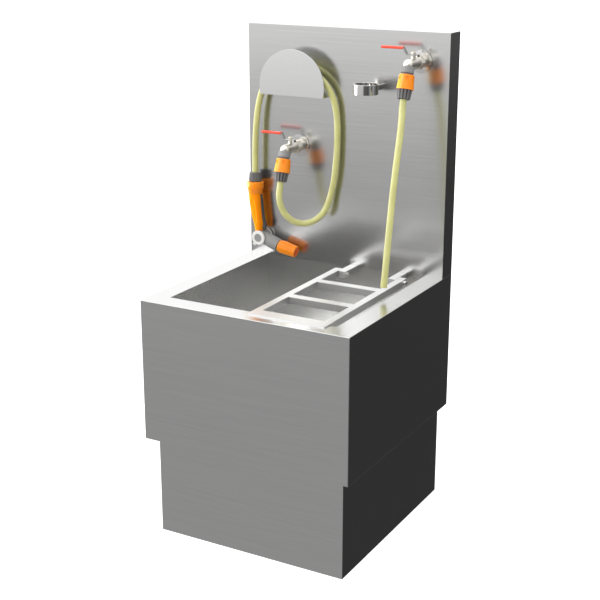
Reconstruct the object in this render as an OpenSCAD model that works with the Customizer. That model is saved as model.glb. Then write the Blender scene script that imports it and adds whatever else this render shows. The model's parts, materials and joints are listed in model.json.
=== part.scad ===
// Waste disposal sink: a closed steel cabinet on a plinth with a tall splash panel, a hinged grate
// over the bowl, two wall taps with hose connectors, a hose hanger, a holder ring and a spray gun.
// Origin at the middle of the floor outline, +Y to the back, +Z up. Lengths in millimetres.

/* [Body] */
// Width of the cabinet and of the splash panel
body_w = 500; // [480:10:600]
// Depth from the front of the cabinet to the rear cover
body_d = 507; // [490:1:560]
// Height of the rim above the floor
rim_h = 545; // [530:5:600]
// Height of the splash panel above the rim
splash_h = 542; // [535:1:620]
// Depth of the splash panel
splash_t = 53; // [50:1:65]
// Height of the casing round the bowl, without the rim's sheet
casing_h = 317; // [310:1:330]
// Setback of the plinth at the front and the sides
plinth_inset = 22; // [16:1:30]
// Thickness of the cabinet's sheet
sheet = 1.5; // [1.2:0.1:2]

/* [Bowl] */
// Width of the rim at each side of the bowl
rim_side = 46; // [42:0.5:50]
// Width of the rim in front of the bowl
rim_front = 47.5; // [44:0.5:52]
// Depth of the bowl below the rim
bowl_depth = 128; // [120:1:132]
// Width of the small tab at the bowl's front right corner
tab_w = 6; // [4:0.5:8]
// Length of that tab
tab_l = 61.5; // [50:0.5:80]

/* [Grate] */
// Width of the grate
grate_w = 180; // [176:1:184]
// Width of its rails
rail_w = 17; // [15:0.5:18]
// Depth of its rails and bars
rail_d = 15; // [14:0.5:17]
// Width of its cross bars
bar_w = 21; // [16:1:26]
// Width of the plate that lies on the front rim
front_plate_w = 33.5; // [30:0.5:38]
// Thickness of the grate's sheet
grate_t = 2; // [1.5:0.1:2.5]
// Radius of the hinge bolts
hinge_r = 3; // [2.5:0.1:3.5]

/* [Taps] */
// Place of the upper tap to the right of the middle
upper_tap_x = 185; // [184:0.5:188]
// Height of the upper tap's axis above the rim
upper_tap_z = 479.4; // [475:0.1:485]
// Place of the lower tap, left of the middle when negative
lower_tap_x = -115; // [-118:0.5:-112]
// Height of the lower tap's axis above the rim
lower_tap_z = 271.8; // [268:0.1:276]
// Radius of the wall rosettes
rosette_r = 25; // [22:0.5:28]
// Largest radius of the tap bodies
tap_r = 13.5; // [13:0.1:14]
// Reach of the levers from the stem
lever_l = 73.5; // [60:0.5:80]
// Width of the levers
lever_w = 10; // [9:0.5:12]

/* [Connectors] */
// Lean of the hose connectors towards the front, in degrees
lean = 16.3; // [14:0.1:18]
// Radius of the threaded adapter
adapter_r = 14.25; // [14:0.05:14.6]
// Radius of the sliding sleeve at its wide end
sleeve_r = 18.75; // [18.5:0.05:20]
// Outer radius of the hoses
hose_r = 7.25; // [7:0.05:7.5]

/* [Hanger and ring] */
// Place of the hose hanger, left of the middle when negative
hanger_x = -115; // [-118:0.5:-112]
// Radius of the hanger's front plate
plate_r = 83.3; // [80:0.1:86]
// Outer radius of the hanger's saddle
saddle_r = 86.6; // [84:0.1:86.6]
// Clear depth between the splash panel and the hanger's plate
hanger_gap = 38.3; // [36:0.1:44]
// Place of the holder ring to the right of the middle
ring_x = 79; // [60:1:100]
// Outer radius of the holder ring
ring_r = 27.5; // [24:0.5:32]
// Height of the holder ring's band
ring_band = 22; // [16:1:28]

/* [Spray gun] */
// Length of the gun's handle
handle_l = 94; // [90:1:96]
// Radius of the gun's barrel
barrel_r = 15.5; // [15:0.1:16]
// Length of the gun's nozzle
nozzle_l = 46; // [38:1:52]
// Outer radius of the gun's dial
dial_r = 17.25; // [16:0.25:18]

/* [Hidden] */
$fn = 72;

// Overrun of every cut, and the running gap of pins and of pieces that slide
over = 1;
run_gap = 0.1;
slide_gap = 0.3;

// Body: planes that the rest is measured from
splash_y = body_d / 2 - splash_t;
front_y = -body_d / 2;
back_y = body_d / 2;
cover_y = back_y - sheet;
plinth_h = rim_h - sheet - casing_h;
wall_x = body_w / 2 - plinth_inset - sheet;
bowl_w = body_w - 2 * rim_side;
bowl_y = front_y + rim_front;
bowl_l = splash_y - bowl_y;
bowl_z = rim_h - bowl_depth;
top_flange = 25;
foot_flange = 20;
hatch_w = 300;
hatch_z = 40;
hatch_down = 36.5;
service_w = 200;
service_y = 60;
cover_flange = 15;

// Bolts between the base plate and the plinth's top flange
plinth_bolt_r = 4;
plinth_bolt_af = 13;
plinth_bolt_head = 5;
plinth_bolt_nut = 6.5;
plinth_bolt_in = 13;
plinth_bolt_y = 160;

// Floor brackets
bracket_w = 50;
bracket_h = 40;
bracket_l = 45;
bracket_t = 3;
bracket_y = 150;
floor_hole_r = 5.5;
floor_hole_in = 32;

// Screws of the rear cover and of what hangs on the splash panel
cover_screw_r = 2;
cover_head_r = 4;
cover_screw_l = 8;
cover_rows = 3;
screw_r = 3;
screw_head_r = 5.5;
screw_head = 3;

// Waste fitting and trap, from the bowl's floor down
waste_y = bowl_y + bowl_l / 2;
flange_r = 55;
cup_r = 42;
cup_wall = 2;
cup_l = 45;
tail_r = 22;
tail_bore = 18;
tail_l = 27;
gasket_t = 2;
gasket_r = 54;
locknut_h = 12;
locknut_r = 52;
basket_r = 38.5;
basket_t = 1.2;
basket_depth = 34;
basket_lip = 1.2;
basket_hole_r = 2.5;
basket_rows = 2;
basket_edge_rows = 0.8;
basket_holes = 6;
trap_r = 34;
trap_wall = 3;
trap_h = 66;
trap_drop = 15;
dip_l = 45;
trap_cup_h = 30;
trap_cup_lap = 8;
trap_nut_r = 29;
trap_nut_h = 16;
spigot_r = 19;
spigot_wall = 3;
spigot_l = 44;
spigot_up = 41;
outlet_r = 22.5;
outlet_bore = 20;
outlet_depth = 60;
lap = 13;
grommet_r = 26;
grommet_l = 3.5;
tail_z = bowl_z - cup_l - tail_l;
trap_z = tail_z - trap_drop - trap_h;
spigot_z = trap_z + spigot_up;
spigot_y = waste_y + trap_r - trap_wall;

// Water supply behind the splash panel
pipe_r = 7.5;
pipe_bore = 6;
pipe_y = 24;
stub_r = 10.45;
stub_l = 24;
stub_down = 106.5;
stub_z = plinth_h - stub_down;
elbow_r = 14;
elbow_l = 34;
elbow_arm_r = 10;
elbow_arm_l = 30;
elbow_lap = 14;
pipe_clear = 1.5;

// Taps: distances along the tap's axis, outward from the splash panel
upper_tap = [upper_tap_x, upper_tap_z];
lower_tap = [lower_tap_x, lower_tap_z];
TAPS = [upper_tap, lower_tap];
rosette_t = 2;
rosette_edge = 1.6;
tail_in = 18;
nipple_r = 10.5;
collar_r = 12.5;
collar_out = 14;
union_l = 15;
union_af = 28;
union_out = collar_out + union_l;
stem_out = 45;
neck_r = 11.5;
neck_out = 54;
shoulder = 2;
swell_l = 9;
nose_step = 7.5;
water_r = 5;
ball_r = 8.5;
ball_room = 9;
seat_room = 1.5;
seat_l = 5.5;
seat_bore = 5.5;
seat_gap = 0.15;
column_r = 4.8;
column_top = 15.5;
gland_af = 9;
gland_h = 2;
stem_r = 3;
spout_r = 9.5;
spout_in = 12;
adapter_out = 70.3;
adapter_drop = 4.2;
corner_out = adapter_out - adapter_drop * tan(lean);

// Levers: heights above the tap's axis and reaches from the stem
lever_t = 2;
lever_up = column_top + gland_h;
lug_x = 12.5;
lug_l = 3.2;
crank_x = 15;
crank_end = 22.5;
crank_up = 33;
grip_t = 5.5;
grip_side = 0.8;
grip_tip = 1.5;
lever_nut_af = 10;
lever_nut_h = 5;
stem_over = 0.5;

// Connectors: distances along their own axis, from the adapter's top
adapter_l = 13;
socket_l = 12;
nipple_out_r = 7;
nipple_len = 18;
nipple_bore = 4;
sleeve_in = 16.8;
sleeve_l = 31;
sleeve_top_r = 16;
sleeve_bore = 13;
skirt_l = 9.5;
core_in = 13.5;
core_r = 12.6;
core_bore = 8.2;
core_l = 30;
core_depth = 20;
core_barb_r = 4.5;
core_barb_l = 20;
nut_in = 43.6;
nut_l = 25.2;
nut_top_r = 16;
nut_end_r = 12.5;
nut_ribs = 12;
rib_w = 2;
rib_depth = 1;
seal_l = 2;
seal_in = 22;
window_w = 6;
window_l = 7;
window_drop = 4;
window_depth = 1.2;
windows = 6;
connector_l = nut_in + nut_l;

// Hanger and ring: heights above the rim
plate_t = 2;
plate_z = 409.4;
flat_z = 388.8;
saddle_z = 358.6;
saddle_t = 2;
flange_t = 2;
saddle_flange = 14;
saddle_screws = 3;
saddle_step = 55;
ring_t = 2;
ring_out = 54;
ring_z = 408.5;
arm_t = 3;
arm_h = 11;
arm_z = 6;
arm_x = 15;

// Grate and hinge: places from the splash panel and the rim
grate_side = 24;
grate_x = bowl_w / 2 - grate_side - grate_w;
grate_up = 2.5;
hinge_out = 52;
hinge_drop = 5.5;
grate_end = 15;
end_slant = 5;
plate_front = 27;
bar_shares = [0.3733, 0.7482];
bracket_front = 7;
bracket_side = 18.5;
bracket_gap = 1;
head_af = 10;
head_l = 4;
washer_r = 6.5;
washer_t = 1;
end_nut_l = 5;
bolt_over = 1;
screw_up = 4.5;
grate_z = rim_h + grate_up - rail_d;
hinge_y = splash_y - hinge_out;
hinge_z = rim_h - hinge_drop;
plate_y = front_y + plate_front;
plate_back = plate_y + front_plate_w;
function bar_backs() = [for (share = bar_shares) plate_back + (hinge_y - plate_back) * share];

// Hose routes: x, depth from the splash panel and height above the rim, chosen by hand. Each starts
// straight out of its connector.
HOSE_SIDES = 10;
hose_end = 14.5;
function connector_point(tap, s) =
    [tap[0], -adapter_out - s * sin(lean), tap[1] - adapter_drop - s * cos(lean)];
function hose_start(tap) = [for (s = [connector_l, connector_l + hose_end]) connector_point(tap, s)];
gun_route = concat(hose_start(lower_tap), [[-114.5, -97, 169], [-110.5, -96.5, 147],
    [-100, -90, 124.5], [-84.5, -77, 109], [-67.5, -60.5, 104], [-51.5, -43, 109.5],
    [-37.5, -27.5, 126.5], [-28, -18, 154.5], [-18.5, -15.5, 196], [-13.5, -15, 236],
    [-11, -13.5, 282], [-11.5, -13, 332.5], [-16.5, -14.5, 371.5], [-25.5, -17, 398],
    [-37.5, -18.5, 416.5], [-53, -19, 431], [-72, -19, 442.5], [-92, -19, 450],
    [-115, -19, 453], [-138, -19, 450], [-158, -19, 442.5], [-178, -19, 429],
    [-191, -20, 415], [-203, -20.5, 393], [-212, -21.5, 362], [-218, -22.5, 320],
    [-221, -23.5, 270], [-222, -23.5, 217], [-222, -23.5, 202]]);
fill_route = concat(hose_start(upper_tap), [[187.5, -101, 373], [188.5, -107, 351],
    [189, -113, 328], [189, -120, 302], [189, -127, 275], [189, -134, 246], [189, -141, 216],
    [189.5, -148, 184], [190, -155, 151], [190.5, -162, 118], [191, -169, 85], [191.5, -176, 51],
    [191.5, -182, 21]]);

// Spray gun: x, depth and height from the hose's end, and its own sizes
gun_at = gun_route[len(gun_route) - 1];
gun_nut_l = 21;
gun_nut_top_r = 14;
gun_nut_r = 15.4;
gun_nut_bore = 6;
spigot_fit = 12;
slot_roof = 0.4;
slot_drop = 1.8;
collar_top_r = 20;
collar_ridge_r = 18.8;
collar_end_r = 17;
collar_l = 28;
collar_chamfer = 1.5;
collar_gap = 1;
ridge_l = 20;
handle_top = gun_nut_l + collar_gap + collar_l;
handle_fit = 6;
grip_depth = 15;
grip_width = 16;
handle_sides = 40;
head_r = 16;
head_x = 16.8;
head_drop = 10;
head_t = 31.4;
hub_r = 9.5;
dial_t = 3.5;
dial_edge = 1;
hub_over = 3;
pointer_l = 5;
pointer_w = 7;
pointer_turn = 235;
barrel_turn = 20;
barrel_l = 49;
barrel_bore = 9;
nozzle_turn = 12;
nozzle_end_r = 12.4;
nozzle_big_r = 15;
nozzle_ribs = 12;
nozzle_rib_w = 3;
nozzle_rib_h = 0.7;
nozzle_socket_r = 9;
nozzle_socket_l = 14;
nozzle_gap = 2.4;
nozzle_neck = 4;
face_r = 10.5;
face_t = 2.5;
face_inset = 0.5;
face_hole_r = 1.2;
face_ring_r = 6;
face_holes = 8;
jet_r = 2.5;
trigger_w = 9;
trigger_t = 7;
trigger_slot = 10;
trigger_room = 7.5;
pin_r = 1.5;
pin_l = 16.4;
pin_x = 12.6;
pin_down = 7;
valve_r = 6;
valve_l = 30;
valve_in = 14;
head_z = -(handle_top + handle_l + head_drop);
nozzle_x = head_x + barrel_l * cos(barrel_turn);
nozzle_z = head_z - barrel_l * sin(barrel_turn);

// Trigger's outer edge beside the handle, as shares of the handle's width and length
trigger_shares = [[0.99, 0.01], [1.24, 0.35], [1.32, 0.5], [1.48, 0.65], [1.76, 0.8],
    [1.62, 0.92]];
// Handle sections: place down its length, then middle and half width as shares of the width,
// then half depth as a share of the depth
handle_shares = [[0, 0.02, 1, 1], [0.15, 0.07, 1, 0.98], [0.3, 0.17, 0.95, 1],
    [0.45, 0.3, 0.92, 1.02], [0.6, 0.45, 0.85, 1.02], [0.73, 0.64, 0.77, 1],
    [0.87, 0.72, 0.65, 0.98], [1, 0.76, 0.56, 0.92]];
corner_share = 0.8;

// A point on the smooth curve through the points p, in the stretch after point i
function clip(v, top) = max(0, min(v, top));
function curve(p, i, t) =
    let (a = p[clip(i - 1, len(p) - 1)], b = p[i], c = p[clip(i + 1, len(p) - 1)],
        d = p[clip(i + 2, len(p) - 1)])
    0.5 * (2 * b + (c - a) * t + (2 * a - 5 * b + 4 * c - d) * t * t
        + (3 * b - a - 3 * c + d) * t * t * t);

// The triangles of a closed skin over rings of n points
function skin(rings, n) = concat(
    [for (i = [0:rings - 2], j = [0:n - 1]) [i * n + j, i * n + (j + 1) % n, (i + 1) * n + j]],
    [for (i = [0:rings - 2], j = [0:n - 1])
        [i * n + (j + 1) % n, (i + 1) * n + (j + 1) % n, (i + 1) * n + j]],
    [for (j = [1:n - 2]) [0, j + 1, j]],
    [for (j = [1:n - 2]) [(rings - 1) * n, (rings - 1) * n + j, (rings - 1) * n + j + 1]]);

// A tube swept along a route, two rings to each stretch of the middle
function unit(v) = v / norm(v);
function ring_points(p, along, r) =
    let (side = unit(cross(along, [0, 1, 0])), up = cross(side, along))
    [for (j = [0:HOSE_SIDES - 1])
        p + r * (cos(360 * j / HOSE_SIDES) * side + sin(360 * j / HOSE_SIDES) * up)];
module tube(route, r) {
    last = len(route) - 1;
    path = concat([route[0]],
        [for (i = [1:last - 2], t = [0, 0.5]) curve(route, i, t)], [route[last - 1], route[last]]);
    n = len(path) - 1;
    along = [for (i = [0:n]) unit(path[min(i + 1, n)] - path[max(i - 1, 0)])];
    points = [for (i = [0:n]) each ring_points(path[i], along[i], r)];
    polyhedron(points, skin(n + 1, HOSE_SIDES));
}

// Frames: the splash panel's foot at the rim, a tap's axis, a connector's axis and the gun
module on_splash() {
    translate([0, splash_y, rim_h]) children();
}
module at_tap(tap) {
    on_splash() translate([tap[0], 0, tap[1]]) rotate([90, 0, 0]) children();
}
module at_connector(tap) {
    on_splash() translate([tap[0], -adapter_out, tap[1] - adapter_drop]) rotate([180 - lean, 0, 0])
        children();
}
module at_gun() {
    on_splash() translate(gun_at) children();
}

// Simple shapes
module box_at(low, high) {
    translate(low) cube(high - low);
}
module ring(outer, inner, h) {
    difference() {
        cylinder(r = outer, h = h);
        translate([0, 0, -over]) cylinder(r = inner, h = h + 2 * over);
    }
}
module hex(across, h) {
    cylinder(r = across / sqrt(3), h = h, $fn = 6);
}

// Cabinet
module casing_shell() color("silver") difference() {
    box_at([-body_w / 2, front_y, plinth_h], [body_w / 2, cover_y, rim_h - sheet]);
    box_at([-body_w / 2 + sheet, front_y + sheet, plinth_h - over],
        [body_w / 2 - sheet, cover_y - sheet, rim_h]);
    box_at([-body_w / 2 + cover_flange, cover_y - sheet - over, plinth_h - over],
        [body_w / 2 - cover_flange, back_y, rim_h]);
    cover_screw_holes();
}
module rim_sheet() color("silver") difference() {
    box_at([-body_w / 2, front_y, rim_h - sheet], [body_w / 2, cover_y, rim_h]);
    difference() {
        box_at([-bowl_w / 2, bowl_y, rim_h - sheet - over], [bowl_w / 2, splash_y, rim_h + over]);
        box_at([bowl_w / 2 - tab_w, bowl_y - over, rim_h - sheet - 2 * over],
            [bowl_w / 2 + over, bowl_y + tab_l, rim_h + 2 * over]);
    }
    for (tap = TAPS) translate([tap[0], splash_y + pipe_y, rim_h - sheet - over])
        cylinder(r = pipe_r + pipe_clear, h = sheet + 2 * over);
}
module bowl() color("silver") difference() {
    box_at([-bowl_w / 2 - sheet, bowl_y - sheet, bowl_z - sheet],
        [bowl_w / 2 + sheet, splash_y + sheet, rim_h - sheet]);
    box_at([-bowl_w / 2, bowl_y, bowl_z], [bowl_w / 2, splash_y, rim_h]);
    translate([0, waste_y, bowl_z - sheet - over]) cylinder(r = cup_r, h = sheet + 2 * over);
    for (x = bracket_middles()) translate([x, splash_y - over, grate_z + screw_up]) rotate([-90, 0, 0])
        cylinder(r = screw_r, h = sheet + 2 * over);
}
module base_plate() color("silver") difference() {
    box_at([-body_w / 2 + sheet, front_y + sheet, plinth_h],
        [body_w / 2 - sheet, cover_y - sheet, plinth_h + sheet]);
    box_at([-service_w / 2, service_y - service_w, plinth_h - over],
        [service_w / 2, service_y, plinth_h + sheet + over]);
    for (tap = TAPS) translate([tap[0], splash_y + pipe_y, plinth_h - over])
        cylinder(r = pipe_r + pipe_clear, h = sheet + 2 * over);
    plinth_bolt_places() translate([0, 0, plinth_h - over])
        cylinder(r = plinth_bolt_r, h = sheet + 2 * over);
}
module plinth_shell() color("silver") difference() {
    box_at([-wall_x - sheet, front_y + plinth_inset, 0], [wall_x + sheet, back_y, plinth_h]);
    box_at([-wall_x, front_y + plinth_inset + sheet, sheet], [wall_x, cover_y, plinth_h - sheet]);
    box_at([-wall_x + foot_flange, front_y + plinth_inset + foot_flange, -over],
        [wall_x - foot_flange, back_y - foot_flange, 2 * sheet]);
    box_at([-wall_x + top_flange, front_y + plinth_inset + top_flange, plinth_h - 2 * sheet],
        [wall_x - top_flange, back_y - sheet, plinth_h + over]);
    box_at([-hatch_w / 2, cover_y - over, hatch_z], [hatch_w / 2, back_y + over, plinth_h - hatch_down]);
    plinth_bolt_places() translate([0, 0, plinth_h - sheet - over])
        cylinder(r = plinth_bolt_r, h = sheet + 2 * over);
}
module plinth_bolt_places() {
    for (side = [-1, 1], y = [-plinth_bolt_y, 0, plinth_bolt_y])
        translate([side * (wall_x - plinth_bolt_in), y, 0]) children();
}
module plinth_bolts() color("gray") plinth_bolt_places() {
    translate([0, 0, plinth_h + sheet]) hex(plinth_bolt_af, plinth_bolt_head);
    translate([0, 0, plinth_h - sheet - plinth_bolt_nut])
        cylinder(r = plinth_bolt_r, h = 2 * sheet + plinth_bolt_nut + over);
    translate([0, 0, plinth_h - sheet - plinth_bolt_nut]) hex(plinth_bolt_af, plinth_bolt_nut);
}
module floor_brackets() color("gray") for (side = [0, 1], y = [-bracket_y, bracket_y])
    mirror([side, 0, 0]) translate([wall_x, y, sheet]) difference() {
        union() {
            box_at([-bracket_l, -bracket_w / 2, 0], [0, bracket_w / 2, bracket_t]);
            box_at([-bracket_t, -bracket_w / 2, 0], [0, bracket_w / 2, bracket_h]);
        }
        translate([-floor_hole_in, 0, -over]) cylinder(r = floor_hole_r, h = bracket_t + 2 * over);
    }

// Splash panel
module splash_panel() color("silver") difference() {
    box_at([-body_w / 2, splash_y, rim_h], [body_w / 2, cover_y, rim_h + splash_h]);
    box_at([-body_w / 2 + sheet, splash_y + sheet, rim_h - over],
        [body_w / 2 - sheet, cover_y - sheet, rim_h + splash_h - sheet]);
    box_at([-body_w / 2 + cover_flange, cover_y - sheet - over, rim_h - over],
        [body_w / 2 - cover_flange, back_y, rim_h + splash_h - cover_flange]);
    for (tap = TAPS) at_tap(tap) translate([0, 0, -sheet - over])
        cylinder(r = nipple_r, h = sheet + 2 * over);
    saddle_screw_places() translate([0, 0, -sheet - over])
        cylinder(r = screw_r, h = sheet + 2 * over);
    cover_screw_holes();
}

// Rear cover behind the casing and the splash panel, with its screws and the outlet's hole
module cover_screw_places() {
    for (side = [-1, 1], z = concat([(plinth_h + rim_h) / 2], [for (row = [0:cover_rows - 1])
            rim_h + splash_h * (2 * row + 1) / (2 * cover_rows)]))
        translate([side * (body_w / 2 - cover_flange / 2), back_y, z])
            rotate([-90, 0, 0]) children();
}
module cover_screw_holes() {
    cover_screw_places() translate([0, 0, -cover_screw_l])
        cylinder(r = cover_screw_r, h = cover_screw_l + over);
}
module rear_cover() color("silver") difference() {
    box_at([-body_w / 2, cover_y, plinth_h], [body_w / 2, back_y, rim_h + splash_h]);
    cover_screw_places() {
        translate([0, 0, -sheet]) cylinder(r1 = cover_screw_r, r2 = cover_head_r, h = sheet);
        translate([0, 0, -sheet - over]) cylinder(r = cover_screw_r, h = sheet + 2 * over);
    }
    translate([0, cover_y - over, spigot_z]) rotate([-90, 0, 0])
        cylinder(r = grommet_r, h = sheet + 2 * over);
}
module cover_screws() color("gray") cover_screw_places() {
    translate([0, 0, -sheet]) cylinder(r1 = cover_screw_r, r2 = cover_head_r, h = sheet);
    translate([0, 0, -cover_screw_l]) cylinder(r = cover_screw_r, h = cover_screw_l);
}

// Waste fitting, strainer and trap
module at_waste() {
    translate([0, waste_y, bowl_z]) children();
}
module waste_flange() color("silver") at_waste() rotate_extrude() polygon([
    [cup_r - cup_wall, cup_wall], [flange_r - cup_wall, cup_wall], [flange_r, 0], [cup_r, 0],
    [cup_r, -cup_l], [tail_r, -cup_l], [tail_r, -cup_l - tail_l], [tail_bore, -cup_l - tail_l],
    [tail_bore, -cup_l + cup_wall], [cup_r - cup_wall, -cup_l + cup_wall]]);
module waste_gasket() color("black") at_waste() translate([0, 0, -sheet - gasket_t])
    ring(gasket_r, cup_r, gasket_t);
module waste_locknut() color("dimgray") at_waste()
    translate([0, 0, -sheet - gasket_t - locknut_h]) ring(locknut_r, cup_r, locknut_h);
module waste_strainer() color("gainsboro") at_waste() difference() {
    rotate_extrude() polygon([
        [0, cup_wall - basket_depth], [basket_r, cup_wall - basket_depth],
        [basket_r, cup_wall], [cup_r + basket_lip, cup_wall],
        [cup_r + basket_lip, cup_wall + basket_lip],
        [basket_r - basket_t, cup_wall + basket_lip],
        [basket_r - basket_t, cup_wall - basket_depth + basket_t],
        [0, cup_wall - basket_depth + basket_t]]);
    for (row = [1:basket_rows], k = [1:basket_holes * row])
        rotate(360 * k / (basket_holes * row))
            translate([basket_r * row / (basket_rows + basket_edge_rows), 0,
                cup_wall - basket_depth - over])
                cylinder(r = basket_hole_r, h = basket_t + 2 * over);
}
module trap_body() color("whitesmoke") difference() {
    union() {
        translate([0, waste_y, trap_z]) cylinder(r = trap_r, h = trap_h);
        translate([0, waste_y, trap_z + trap_h - over]) cylinder(r = tail_r, h = trap_drop + over);
        translate([0, spigot_y, spigot_z]) rotate([-90, 0, 0])
            cylinder(r = spigot_r, h = spigot_l);
    }
    difference() {
        translate([0, waste_y, trap_z - over])
            cylinder(r = trap_r - trap_wall, h = trap_h - trap_wall + over);
        translate([0, waste_y, trap_z + trap_h - dip_l]) cylinder(r = tail_r, h = dip_l + over);
    }
    translate([0, waste_y, trap_z]) cylinder(r = tail_bore, h = trap_h + trap_drop + over);
    translate([0, waste_y + tail_r, spigot_z]) rotate([-90, 0, 0])
        cylinder(r = spigot_r - spigot_wall, h = trap_r + spigot_l);
}
module trap_cup() color("whitesmoke") difference() {
    translate([0, waste_y, trap_z - trap_cup_h + trap_cup_lap])
        cylinder(r = trap_r + trap_wall, h = trap_cup_h);
    translate([0, waste_y, trap_z]) cylinder(r = trap_r, h = trap_cup_h);
    translate([0, waste_y, trap_z - trap_cup_h + trap_cup_lap + trap_wall])
        cylinder(r = trap_r - trap_wall, h = trap_cup_h);
}
module trap_nuts() color("whitesmoke") {
    translate([0, waste_y, tail_z - trap_nut_h / 2]) ring(trap_nut_r, tail_r, trap_nut_h);
    translate([0, spigot_y + spigot_l - lap, spigot_z]) rotate([-90, 0, 0])
        ring(trap_nut_r, outlet_r, trap_nut_h);
}
module outlet_pipe() color("lightgray") translate([0, 0, spigot_z]) rotate([-90, 0, 0])
    difference() {
        translate([0, 0, spigot_y + spigot_l - lap])
            cylinder(r = outlet_r, h = back_y - spigot_y - spigot_l + lap);
        translate([0, 0, spigot_y]) cylinder(r = spigot_r, h = back_y);
        translate([0, 0, back_y - outlet_depth]) cylinder(r = outlet_bore, h = outlet_depth + over);
    }
module outlet_grommet() color("black") translate([0, back_y - grommet_l, spigot_z])
    rotate([-90, 0, 0]) ring(grommet_r, outlet_r, grommet_l);

// Water supply
module supply_elbows() color("goldenrod") for (tap = TAPS) at_tap(tap) difference() {
    union() {
        translate([0, 0, -sheet - elbow_l]) cylinder(r = elbow_r, h = elbow_l);
        translate([0, 0, -pipe_y]) rotate([90, 0, 0]) cylinder(r = elbow_arm_r, h = elbow_arm_l);
    }
    translate([0, 0, -tail_in - over]) cylinder(r = nipple_r, h = tail_in + over);
    translate([0, 0, -pipe_y - water_r]) cylinder(r = water_r, h = pipe_y);
    translate([0, 0, -pipe_y]) rotate([90, 0, 0]) cylinder(r = water_r, h = elbow_arm_l);
    translate([0, 0, -pipe_y]) rotate([90, 0, 0]) translate([0, 0, elbow_lap])
        cylinder(r = pipe_r, h = elbow_arm_l);
}
module supply_pipes() color("peru") for (tap = TAPS)
    translate([tap[0], splash_y + pipe_y, stub_z]) difference() {
        union() {
            cylinder(r = pipe_r, h = rim_h + tap[1] - elbow_lap - stub_z);
            cylinder(r = stub_r, h = stub_l);
        }
        translate([0, 0, -over])
            cylinder(r = pipe_bore, h = rim_h + tap[1] - elbow_lap - stub_z + 2 * over);
    }

// Hose hanger
module saddle_screw_places() {
    on_splash() for (k = [0:saddle_screws - 1])
        translate([hanger_x, 0, saddle_z])
            rotate([0, (k - (saddle_screws - 1) / 2) * saddle_step, 0])
                translate([0, 0, saddle_r - saddle_t - saddle_flange / 2]) rotate([90, 0, 0])
                    children();
}
module hanger_plate() color("silver") on_splash()
    translate([hanger_x, -hanger_gap, 0]) rotate([90, 0, 0]) linear_extrude(plate_t)
        intersection() {
            translate([0, plate_z]) circle(r = plate_r, $fn = 120);
            translate([-plate_r, flat_z]) square([2 * plate_r, 2 * plate_r]);
        }
module hanger_saddle() color("silver") on_splash() translate([hanger_x, 0, 0])
    rotate([90, 0, 0]) difference() {
        translate([0, saddle_z, 0]) {
            ring_part(saddle_r, saddle_r - saddle_t, hanger_gap);
            ring_part(saddle_r, saddle_r - saddle_t - saddle_flange, flange_t);
        }
        for (k = [0:saddle_screws - 1]) translate([0, saddle_z, -over])
            rotate(-(k - (saddle_screws - 1) / 2) * saddle_step)
                translate([0, saddle_r - saddle_t - saddle_flange / 2, 0])
                    cylinder(r = screw_r, h = flange_t + 2 * over);
    }
module ring_part(outer, inner, h) {
    intersection() {
        ring(outer, inner, h);
        translate([-outer, flat_z - saddle_z, -over]) cube([2 * outer, outer, h + 2 * over]);
    }
}

// Screws from behind the splash panel into the saddle and the hinge brackets
module splash_screws() color("gray") {
    saddle_screw_places() splash_screw();
    for (x = bracket_middles()) translate([x, splash_y, grate_z + screw_up]) rotate([90, 0, 0])
        splash_screw();
}
module splash_screw() {
    translate([0, 0, -sheet]) cylinder(r = screw_r, h = sheet + flange_t);
    translate([0, 0, -sheet - screw_head]) cylinder(r = screw_head_r, h = screw_head);
}

// Holder ring on its arm
module holder_ring() color("silver") on_splash() translate([ring_x, -ring_out, ring_z]) {
    ring(ring_r, ring_r - ring_t, ring_band);
    difference() {
        box_at([arm_x - arm_t / 2, 0, arm_z], [arm_x + arm_t / 2, ring_out, arm_z + arm_h]);
        cylinder(r = ring_r - ring_t / 2, h = ring_band);
    }
}

// Hinge brackets and their bolts
function bracket_middles() = [grate_x + rail_w + bracket_gap + bracket_side / 2,
    grate_x + grate_w - rail_w - bracket_gap - bracket_side / 2];
module hinge_brackets() color("silver") for (x = bracket_middles())
    translate([x, 0, grate_z]) difference() {
        box_at([-bracket_side / 2, hinge_y - bracket_front, 0],
            [bracket_side / 2, splash_y, rail_d]);
        box_at([-bracket_side / 2 + grate_t, hinge_y - bracket_front + grate_t, -over],
            [bracket_side / 2 - grate_t, splash_y - flange_t, rail_d - grate_t]);
        translate([0, splash_y - flange_t - over, screw_up]) rotate([-90, 0, 0])
            cylinder(r = screw_r, h = flange_t + 2 * over);
        translate([-bracket_side, hinge_y, hinge_z - grate_z]) rotate([0, 90, 0])
            cylinder(r = hinge_r, h = 2 * bracket_side);
    }
module hinge_fasteners() color("gray") for (side = [0, 1])
    translate([grate_x + grate_w / 2, hinge_y, hinge_z]) mirror([side, 0, 0])
        translate([-grate_w / 2, 0, 0]) rotate([0, 90, 0]) {
            translate([0, 0, -slide_gap - washer_t - head_l]) hex(head_af, head_l);
            translate([0, 0, -slide_gap - washer_t]) cylinder(r = washer_r, h = washer_t);
            translate([0, 0, -slide_gap - washer_t]) cylinder(r = hinge_r,
                h = slide_gap + washer_t + rail_w + bracket_gap + bracket_side + end_nut_l + bolt_over);
            translate([0, 0, rail_w + bracket_gap + bracket_side]) hex(head_af, end_nut_l);
        }

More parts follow.
